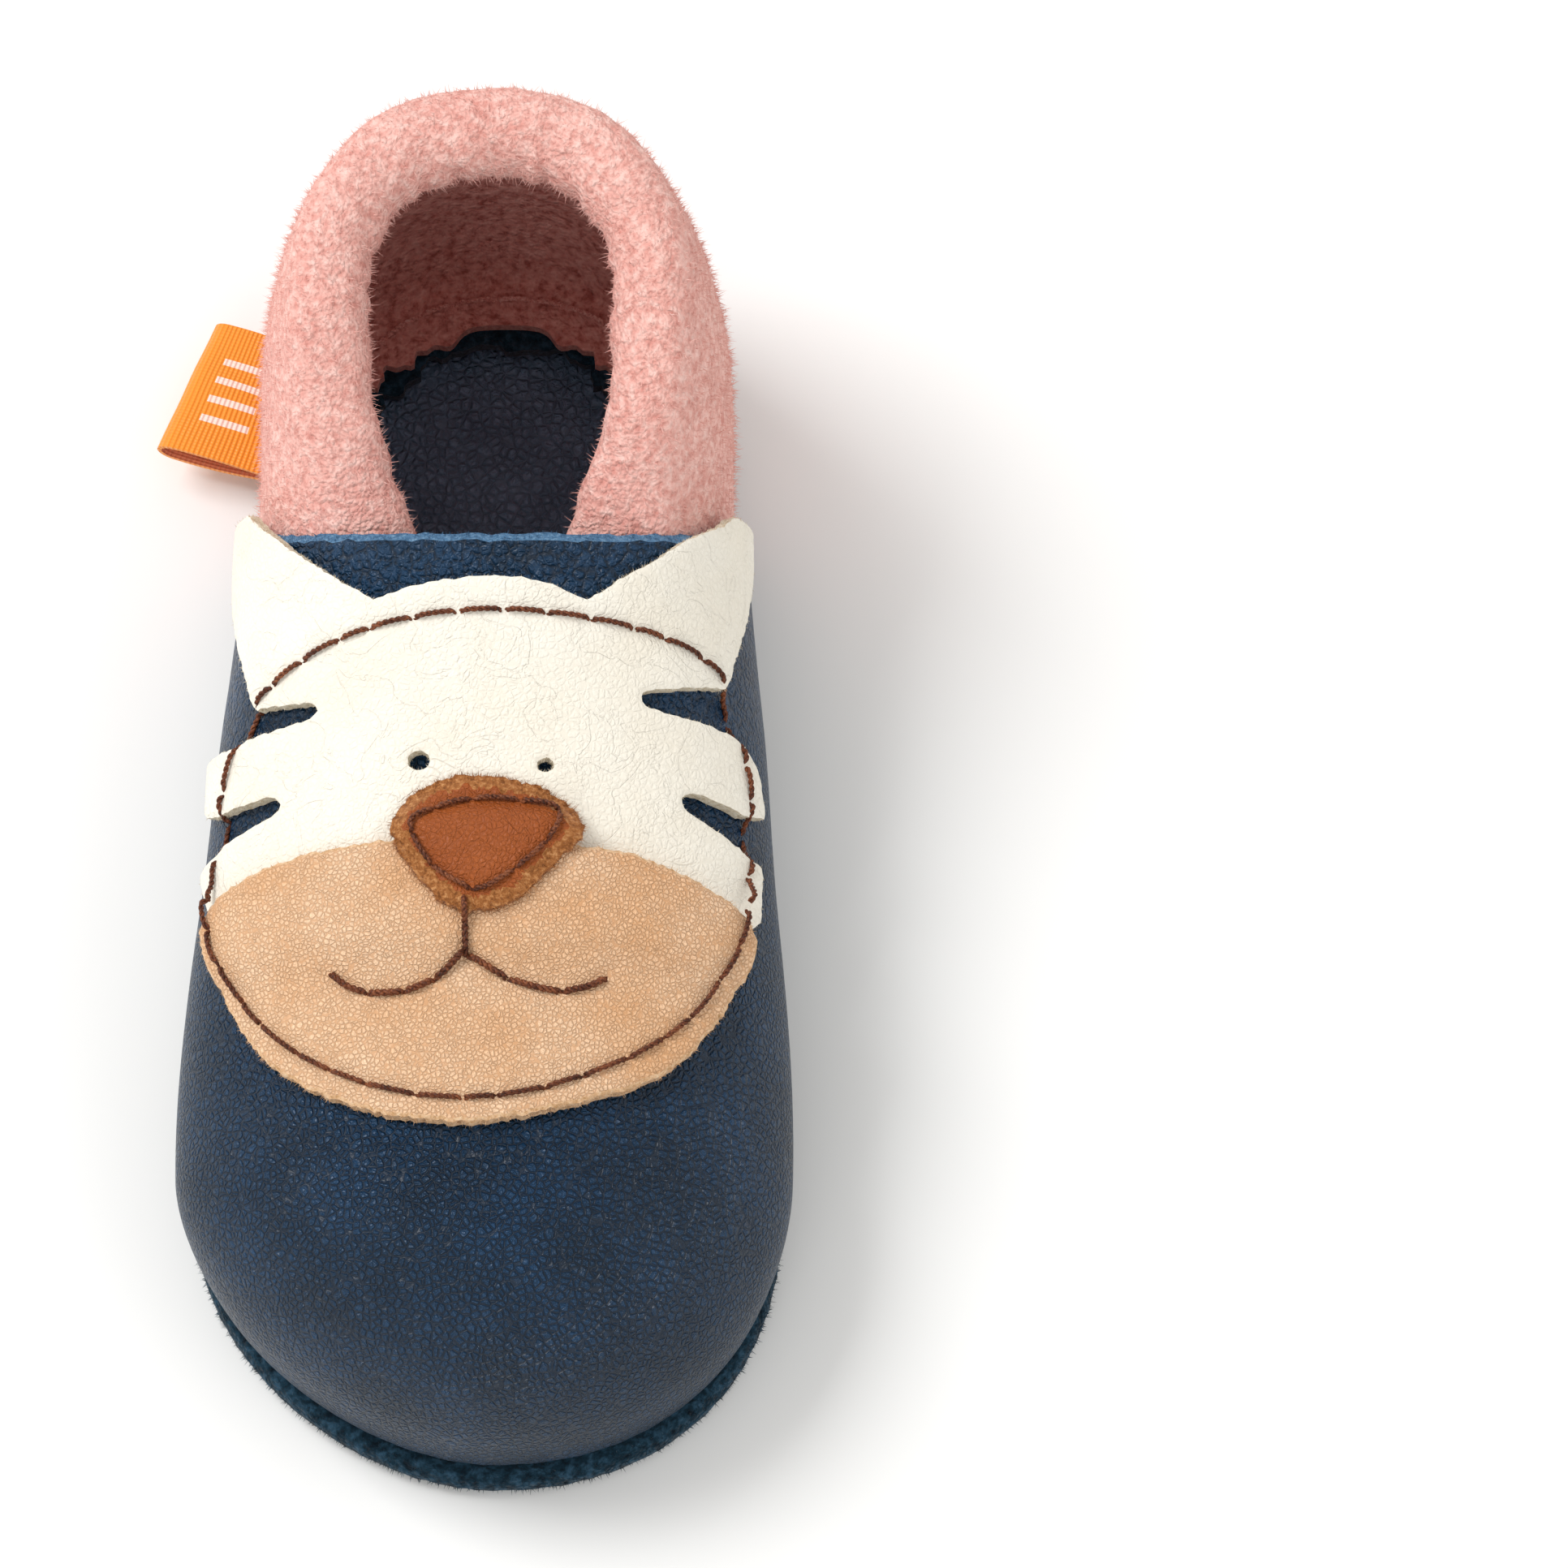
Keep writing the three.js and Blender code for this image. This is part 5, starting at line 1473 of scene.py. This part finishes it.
@dataclass
class AnimalFace:
    """The animal face sewn on the vamp: white face and ears, tan muzzle, russet nose, brown stitches."""

    fold_left: Pairs = ((-11.4, 14.6), (-26.9, 10.6))
    fold_right: Pairs = ((9.3, 14.4), (26.6, 12.4))
    eyes: Sequence[tuple[float, float, float]] = ((-6.9, -1.0, 1.1), (5.4, -1.5, 0.8))
    drape_top: float = -17.8
    drape_low: float = -22.8
    ear_bend: float = 5.0  # length past the fold over which _bend reckons an ear's turn
    sunk: float = 0.08  # how high the thread rides where it has pulled a groove
    face_line: Pairs = (
        (25.7, -12.6), (27.9, -6), (27.7, 0), (26.6, 5.6), (24.9, 9.6), (21.7, 11.2), (15.9, 12.2),
        (6.4, 12.9), (0, 13.1), (-6.6, 12.7), (-12.4, 11.9), (-17.4, 10.7), (-22.3, 8.8), (-25.6, 6.9),
        (-28, 3.4), (-29.7, -2), (-29.7, -8), (-28.5, -13.4), (-26.6, -19.5), (-23.7, -24.4), (-19, -29),
        (-13.9, -32), (-8.8, -33.8), (-3.2, -34.6), (3.1, -34.1), (9, -32.3), (14.8, -29.4), (19.1, -26),
        (22, -22.3), (24, -18), (25.3, -13.6))
    nose_line: Pairs = (
        (-1.6, -14.9), (-4.5, -13.1), (-6.4, -10.6), (-7.1, -7.9), (-4.4, -6.2), (-0.9, -5.4),
        (2.9, -5.6), (6.3, -6.3), (6.5, -7.8), (4.9, -10.6), (2.3, -13), (-0.2, -14.7))
    smile: Sequence[Pairs] = (
        ((-15.4, -21.6), (-13.5, -23.2), (-10.6, -24), (-7, -23.6), (-4.4, -22.2), (-2.3, -20.2)),
        ((-2.2, -15.4), (-2.2, -20.6)),
        ((-2.0, -20.6), (2.3, -22.9), (6.4, -23.9), (9.5, -23.4), (11.5, -22.3)))

    def _muzzle_under(self, a: np.ndarray, y: np.ndarray) -> np.ndarray:
        """Return the height of the muzzle's underside: over the face at its top, on the vamp below it."""
        up = ease((y - self.drape_low) / (self.drape_top - self.drape_low))
        return LAYER.face_in + (LAYER.over_face - LAYER.face_in) * up + 0 * a

    def _muzzle_over(self, a: np.ndarray, y: np.ndarray) -> np.ndarray:
        """Return the height of the muzzle's face."""
        return self._muzzle_under(a, y) + LAYER.muzzle_up - LAYER.over_face

    def _nose_under(self, a: np.ndarray, y: np.ndarray) -> np.ndarray:
        """Return the height of the nose's underside: on the face above, on the muzzle below."""
        return LAYER.over_face + (LAYER.over_muzzle - LAYER.over_face) * ease((-4.6 - y) / 4.1) + 0 * a

    def _nose_over(self, a: np.ndarray, y: np.ndarray) -> np.ndarray:
        """Return the height of the nose's face."""
        return self._nose_under(a, y) + LAYER.leather

    def _sewn_over(self, a: np.ndarray, y: np.ndarray) -> np.ndarray:
        """Return the height that the face's stitches lie on."""
        face, muzzle = LAYER.face_out, self._muzzle_over(a, y)
        return np.where(y > -12.3, face + (LAYER.muzzle_up - face) * ease((-9.8 - y) / 2.5), muzzle)

    def _sewn_on(self, a: np.ndarray, y: np.ndarray) -> np.ndarray:
        """Return the height of the face's stitch line, which dips to the vamp across each notch."""
        on_leather = inside(np.stack([a, y], -1), self._face_outline()) | (y < -12.3)
        height = np.where(on_leather, self._sewn_over(a, y), LAYER.vamp_out)
        weights = np.hanning(9) / np.hanning(9).sum()
        return np.convolve(np.pad(height, 4, mode="edge"), weights, mode="valid")

    def _mouth_over(self, a: np.ndarray, y: np.ndarray) -> np.ndarray:
        """Return the height that the mouth's stitches lie on."""
        low, high = self._muzzle_over(a, y), self._nose_over(a, y)
        return low + (high - low) * ease((y + 18.0) / 1.2)

    def _face_outline(self) -> np.ndarray:
        """Return the face's cut line: a fold for each ear, the brow, and two notches on each side."""
        brow = spline(((-11.4, 14.6), (-7, 15.6), (0, 16.2), (5, 15.8), (9.3, 14.4)), 0.5)
        right = ((25.4, 9.3), (16, 6.9), (14.6, 6.2), (15, 5.2), (16.4, 4.9), (27, 4.6), (29.8, 2.4),
                 (30.6, -2.2), (27, -3), (20, -2.4), (18.8, -3.2), (19.4, -4.4), (26.4, -6.9), (29.4, -7.6),
                 (28.4, -13.8))
        left = ((25.2, -15.6), (12, -17), (-2, -17), (-14, -17), (-27.4, -15.2), (-29.9, -13), (-33, -7.4),
                (-29.6, -6.2), (-22, -4.6), (-21, -3.7), (-22, -2.6), (-29.8, -2.4), (-33.4, -1.3),
                (-34.6, 4.8), (-28.4, 4), (-18.4, 4.1), (-17, 4.9), (-18, 5.9), (-25.4, 6.9))
        begin, end = self.fold_left
        chain = np.concatenate([[begin], brow[1:-1], self.fold_right, right, left, [end]])
        return self._softened(chain, [*self.fold_left, *self.fold_right])

    def _softened(self, corners: np.ndarray, kept: Pairs, radius: float = 0.9,
                  step: float = 0.5) -> np.ndarray:
        """Round an outline's corners as scissors do, but keep some of them, and space points along it."""
        loop = []
        n = len(corners)
        for i in range(n):
            p, q, r = corners[i - 1], corners[i], corners[(i + 1) % n]
            if any(abs(q[0] - k[0]) + abs(q[1] - k[1]) < 1e-6 for k in kept):
                loop.append(q[None])
                continue
            before, after = np.linalg.norm(p - q), np.linalg.norm(r - q)
            a = q + (p - q) * min(radius, 0.45 * before) / before
            b = q + (r - q) * min(radius, 0.45 * after) / after
            t = np.linspace(0, 1, 6)[:, None]
            loop.append((1 - t) ** 2 * a + 2 * t * (1 - t) * q + t * t * b)
        chain = np.concatenate([*loop, loop[0][:1]])
        stops = sorted({int(np.argmin(np.abs(chain[:-1] - np.array(k)).sum(1))) for k in kept})
        chain = chain[:-1]
        chain = np.roll(chain, -stops[0], axis=0)
        cuts = [s - stops[0] for s in stops] + [len(chain)]
        chain = np.concatenate([chain, chain[:1]])
        return np.concatenate([resample(chain[a : b + 1], step, drop_last=True)
                               for a, b in zip(cuts[:-1], cuts[1:])])

    def _ear_outline(self, fold: Pairs, tip: Pairs) -> np.ndarray:
        """Return an ear's cut line, whose base is the fold."""
        return self._softened(np.array([fold[0], *tip, fold[1]], float), fold, radius=0.5)

    def _eye_holes(self) -> list[np.ndarray]:
        """Return the punched eye holes."""
        t = np.linspace(0, 2 * math.pi, 22, endpoint=False)
        return [np.stack([a + radius * np.cos(t), y + radius * 0.86 * np.sin(t)], -1)
                for a, y, radius in self.eyes]

    def build_face(self) -> bpy.types.Object:
        """Cut, lay and dress the white face."""
        leather = CutLeather("face_leather", self._face_outline(), level(LAYER.face_in),
                             level(LAYER.face_out), holes=self._eye_holes(), ragged=0.14, seed=2,
                             fibres=2600, fibre_length=0.5, exact=[self.fold_left, self.fold_right],
                             grooves=[spline(self.face_line, 0.4)], groove_depth=0.22)
        piece = leather.build()
        dress(piece, (Hide.WHITE, Hide.WHITE_FLESH, Hide.WHITE_RAW), ["face"])
        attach(piece, "bootie")
        return piece

    def build_ears(self) -> list[bpy.types.Object]:
        """Cut, lay and dress both ears; each lies on the form and meets the face at its fold."""
        tips = {"left": ((-24.4, 23.5), (-31.5, 27.2), (-38.3, 28.4), (-33.2, 20)),
                "right": ((21.2, 22.5), (31, 27), (37.6, 28), (31.6, 19.6))}
        pieces = []
        for name, fold in (("left", self.fold_left), ("right", self.fold_right)):
            outline = self._ear_outline(fold, tips[name])
            leather = CutLeather(f"ear_{name}_leather", outline, level(LAYER.face_in), level(LAYER.face_out),
                                 ragged=0.16, seed=8, exact=[fold], fibres=900)
            piece = leather.build()
            dress(piece, (Hide.WHITE, Hide.WHITE_FLESH, Hide.WHITE_RAW), [f"ear_{name}"])
            start, end = self._bend(np.array(fold, float), np.array(tips[name], float))
            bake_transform(piece)
            pieces.append(piece)
        return pieces

    def _bend(self, fold: np.ndarray, tip: np.ndarray) -> tuple[np.ndarray, np.ndarray]:
        """Return where an ear starts to turn and where it has turned, square to its fold."""
        base = LAST.wrap(fold[:, 0], fold[:, 1], LAYER.face_out)
        point = LAST.wrap(tip[:, 0], tip[:, 1], LAYER.face_out).mean(0)
        run = (base[1] - base[0]) / np.linalg.norm(base[1] - base[0])
        away = point - base[0]
        away -= (away @ run) * run
        away /= np.linalg.norm(away)
        t = np.linspace(0, 1, 30)[:, None]
        flat = fold[0] + (fold[1] - fold[0]) * t
        ahead = max(float(p @ away) for d in (LAYER.face_in, LAYER.face_out)
                    for p in LAST.wrap(flat[:, 0], flat[:, 1], d))
        start = base[0] + away * (ahead - base[0] @ away + 0.05)
        return start, start + away * self.ear_bend

    def build_muzzle(self) -> bpy.types.Object:
        """Cut, lay and dress the thick tan muzzle."""
        upper_left = ((-28.6, -12.8), (-23.5, -10.9), (-17.1, -9.8), (-10.2, -9.3), (-1, -9.2), (7.4, -9.8))
        upper_right = ((7.4, -9.8), (13.2, -10.2), (19.1, -11.8), (25.4, -14.2))
        chin = ((26.4, -16.5), (25.7, -19.8), (22.1, -26), (17.6, -31), (10.8, -34.2), (-0.9, -36.9),
                (-4, -36.9), (-12.6, -35.2), (-21.2, -30.3), (-25.7, -24.5), (-28.3, -19), (-29.5, -14.8))
        outline = np.concatenate([spline(upper_left, 0.5)[:-1], spline(upper_right, 0.5), spline(chin, 0.5)])
        outline = resample(np.concatenate([outline, outline[:1]]), 0.48, drop_last=True)
        grooves = [spline(line, 0.4) for line in (self.face_line, *self.smile)]
        leather = CutLeather("muzzle_leather", outline, self._muzzle_under, self._muzzle_over,
                             ragged=0.24, seed=4, bevel=0.4, worn=0.6, frayed=0.32, fibres=3000,
                             fibre_length=0.7, grooves=grooves, groove_depth=0.3)
        piece = leather.build()
        dress(piece, (Hide.TAN, Hide.TAN_FLESH, Hide.TAN_RAW), ["muzzle"])
        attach(piece, "bootie")
        return piece

    def build_nose(self) -> bpy.types.Object:
        """Cut, lay and dress the russet nose, whose rim is frayed."""
        corners = ((-9.5, -8.6), (-8.4, -5.2), (-5, -3.1), (-1.6, -2.6), (1.8, -2.9), (6.8, -4.6),
                   (9.2, -8.3), (6.5, -12.3), (2.4, -16.2), (-0.9, -17.2), (-3.6, -16.8), (-7.2, -13))
        outline = spline(corners, 0.45, closed=True)
        outline = outline.mean(0) + (outline - outline.mean(0)) * 0.95
        leather = CutLeather("nose_leather", outline, self._nose_under, self._nose_over, ragged=0.26,
                             seed=6, bevel=0.62, worn=1.7, frayed=1.3, fibres=4200, fibre_length=1.0,
                             step=0.42, grooves=[spline(self.nose_line, 0.4)], groove_depth=0.3)
        piece = leather.build()
        dress(piece, (Hide.BROWN, Hide.BROWN_FLESH, Hide.BROWN_RAW), ["nose"])
        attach(piece, "bootie")
        return piece

    def build_stitches(self) -> list[bpy.types.Object]:
        """Sew face, nose and mouth in brown thread."""
        round_nose = laid_line([*self.nose_line, self.nose_line[0]], self._nose_over)
        face = Stitching("face_stitches", *laid_line(self.face_line, self._sewn_on), stitch=4.4,
                         lift=self.sunk).build()
        nose = Stitching("nose_stitches", *round_nose, stitch=4.2, lift=self.sunk, seed=5).build()
        lines = []
        for k, line in enumerate(self.smile):
            mouth = Stitching(f"mouth_stitches_{k}", *laid_line(line, self._mouth_over), stitch=4.4, ply=0.21,
                              lift=self.sunk, seed=7 + k)
            lines.append(mouth.build())
        select_only(lines[0])
        for other in lines[1:]:
            other.select_set(True)
        bpy.ops.object.join()
        lines[0].name = lines[0].data.name = "mouth_stitches"
        for piece, node in ((face, "face_thread"), (nose, "nose_thread"), (lines[0], "mouth_thread")):
            dress(piece, (Hide.BROWN_THREAD,), [node])
            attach(piece, "bootie")
        return [face, nose, lines[0]]


@dataclass
class SideTag:
    """A woven ribbon folded into a loop, its ends caught in the sole seam on the outer side."""

    y: float = 50.5
    width: float = 15.0
    length: float = 10.5
    belly: float = 1.3
    rise: float = 0.1
    seam: float = 2.4
    ribbon: float = 0.45
    root: float = 5.2
    sole_edge: float = 3.3
    columns: int = 34
    slant: float = 0.2  # the loop's front edge stands out further than its rear edge

    def _frame(self) -> Callable[[np.ndarray, np.ndarray, np.ndarray], np.ndarray]:
        """Return the function that places length, width and height of the ribbon beside the bootie."""
        share = LAST.share_at(-1, self.y)
        s = LAST.slices(-1, share)
        near_rim = [LAST.slices_at(-1, np.array(self.y + d)) for d in (-3.0, 3.0)]
        before, after = (np.array([float(n.out_x * n.reach), float(n.rim_y())]) for n in near_rim)
        run = (after - before) / np.linalg.norm(after - before)
        out = np.array([-run[1], run[0]])
        reach = float(s.seam) + self.seam
        base = np.array([float(s.out_x) * reach, float(s.out_y) * reach + float(s.spine_y)])
        z = (self.sole_edge + LAST.seam_z - LAYER.quarter_out) / 2

        def place(away: np.ndarray, w: np.ndarray, h: np.ndarray) -> np.ndarray:
            """Return the points that are away from the seam, w along it and h above it."""
            x, y = (base[i] + out[i] * away + run[i] * w for i in (0, 1))
            return np.stack([x, y, z + h + np.maximum(away, 0) * self.rise], -1)

        return place

    def build(self) -> bpy.types.Object:
        """Fold, sew in and dress the tag; its ends lie inside the seam."""
        at = self._frame()
        rest = (self.ribbon + LAYER.gap) / 2
        straight = self.length - 1.5
        part = np.linspace(0, straight, 26)
        open_by = rest + (self.belly - rest) * np.sin(math.pi * 0.62 * part / straight)
        t = np.linspace(-math.pi / 2, math.pi / 2, 15)[1:-1]
        inside_seam = np.linspace(-self.root, 0, 12)[:-1]
        l = np.concatenate([inside_seam, part, straight + 1.35 * np.cos(t), part[::-1], inside_seam[::-1]])
        h = np.concatenate([np.full(11, -rest), -open_by, open_by[-1] * np.sin(t), open_by[::-1],
                            np.full(11, rest)])
        across = np.linspace(-self.width / 2, self.width / 2, self.columns)
        dl, dh = np.gradient(l), np.gradient(h)
        size = np.hypot(dl, dh)
        nl, nh = dh / size, -dl / size
        walked = np.concatenate([[0], np.cumsum(np.hypot(np.diff(l), np.diff(h)))])
        down = walked - walked[-1] / 2
        # cloth never lies dead flat: a slight twist and a curl at the front edge
        bow = 0.22 * np.sin(across[:, None] * 0.28 + 0.5) * ease(l[None] / 5)
        bow = bow + 0.1 * np.sin(across[:, None] * 0.9 + down * 0.35) * ease(l[None] / 4)
        half = self.ribbon / 2
        slant = np.maximum(l, 0) * self.slant * (across[:, None] / self.width - 0.5)
        outer = at(l + nl * half - slant, across[:, None] + 0 * l, h + nh * half + bow)
        inner = at(l - nl * half - slant, across[:, None] + 0 * l, h - nh * half + bow)
        lay = np.stack(np.broadcast_arrays(across[:, None], np.abs(down)[None], 0.0), -1)
        shell = Shell("side_tag_ribbon")
        add_skin(shell, outer, inner, finishes=(0, 1, 0))
        shell.marks[0], shell.marks[1] = lay.reshape(-1, 3), lay.reshape(-1, 3)
        piece = shell.build(sharp=50, merge=0.002)
        dress(piece, (Hide.ORANGE, Hide.ORANGE_BACK), ["tag_loop", "tag_root"])
        start, end = (at(np.array(v), np.array(0.0), np.array(0.0)) * MM for v in (0.0, 1.6))
        tuple(start)
        tuple(end)
        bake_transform(piece)
        return piece


@dataclass
class Studio:
    """Pale paper floor, a bright soft room and large soft lamps, with the camera high in front of the toe."""

    aim: tuple[float, float, float] = (29.2, 2.6, 21.05)
    distance: float = 900.0
    elevation: float = 68.0
    lens: float = 204.6
    floor: float = 4.0

    def build(self) -> None:
        """Set the floor, the light and the camera."""
        bpy.ops.mesh.primitive_plane_add(size=self.floor, location=(0, 0, -0.0002))
        paper = bpy.context.active_object
        paper.name = "studio_floor"
        bpy.ops.object.mode_set(mode="EDIT")
        bpy.ops.mesh.subdivide(number_cuts=3)
        bpy.ops.object.mode_set(mode="OBJECT")
        bpy.ops.object.transform_apply(location=True)
        paper.data.materials.append(Paper().material())
        world = bpy.data.worlds.new("soft room")
        bpy.context.scene.world = world
        world.use_nodes = True
        sky = world.node_tree.nodes["Background"]
        sky.inputs["Color"].default_value = (1.0, 0.99, 0.97, 1)
        sky.inputs["Strength"].default_value = 0.66
        lamps = (("key", (-0.6, 0.3, 0.85), 0.5, 7.2), ("fill", (0.7, -0.25, 0.7), 0.7, 1.3),
                 ("front", (-0.2, -0.9, 0.6), 0.6, 1.5))
        for name, place, size, power in lamps:
            bpy.ops.object.light_add(type="AREA", location=place)
            lamp = bpy.context.active_object
            lamp.name = name
            lamp.data.size, lamp.data.energy = size, power
            lamp.rotation_euler = (-Vector(place)).to_track_quat("-Z", "Y").to_euler()
        rise = math.radians(self.elevation)
        back = Vector((0, -math.cos(rise), math.sin(rise))) * self.distance
        bpy.ops.object.camera_add(location=(Vector(self.aim) + back) * MM,
                                  rotation=(math.pi / 2 - rise, 0, 0))
        camera = bpy.context.active_object
        camera.data.lens, camera.data.sensor_width = self.lens, 36.0
        camera.data.clip_start, camera.data.clip_end = 0.01, 20.0
        bpy.context.scene.camera = camera
        bpy.context.scene.view_settings.view_transform = "Standard"


def dress_hidden() -> None:
    """Give the carried-over solids their finishes: the elastic in the collar and the tacks that hold it."""
    for node, hide in (("collar_elastic", Hide.ELASTIC), ("elastic_tack_left", Hide.PINK_THREAD),
                       ("elastic_tack_right", Hide.PINK_THREAD)):
        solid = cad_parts[node]
        for place in solid.material_slots:
            place.material = hide.made()
        if not solid.material_slots:
            solid.data.materials.append(hide.made())
        LOG.info("%s: dressed", node)


def main() -> None:
    """Build the bootie from the sole up, then the studio."""
    logging.basicConfig(level=logging.INFO, format="%(message)s")
    sole, heel, face = Sole(), HeelQuarter(), AnimalFace()
    sole.build()
    sole.build_seam()
    Vamp().build()
    heel.build()
    heel.build_casing_seam()
    face.build_face()
    face.build_ears()
    face.build_muzzle()
    face.build_nose()
    face.build_stitches()
    SideTag().build()
    dress_hidden()
    Studio().build()


if __name__ == "__main__":
    main()
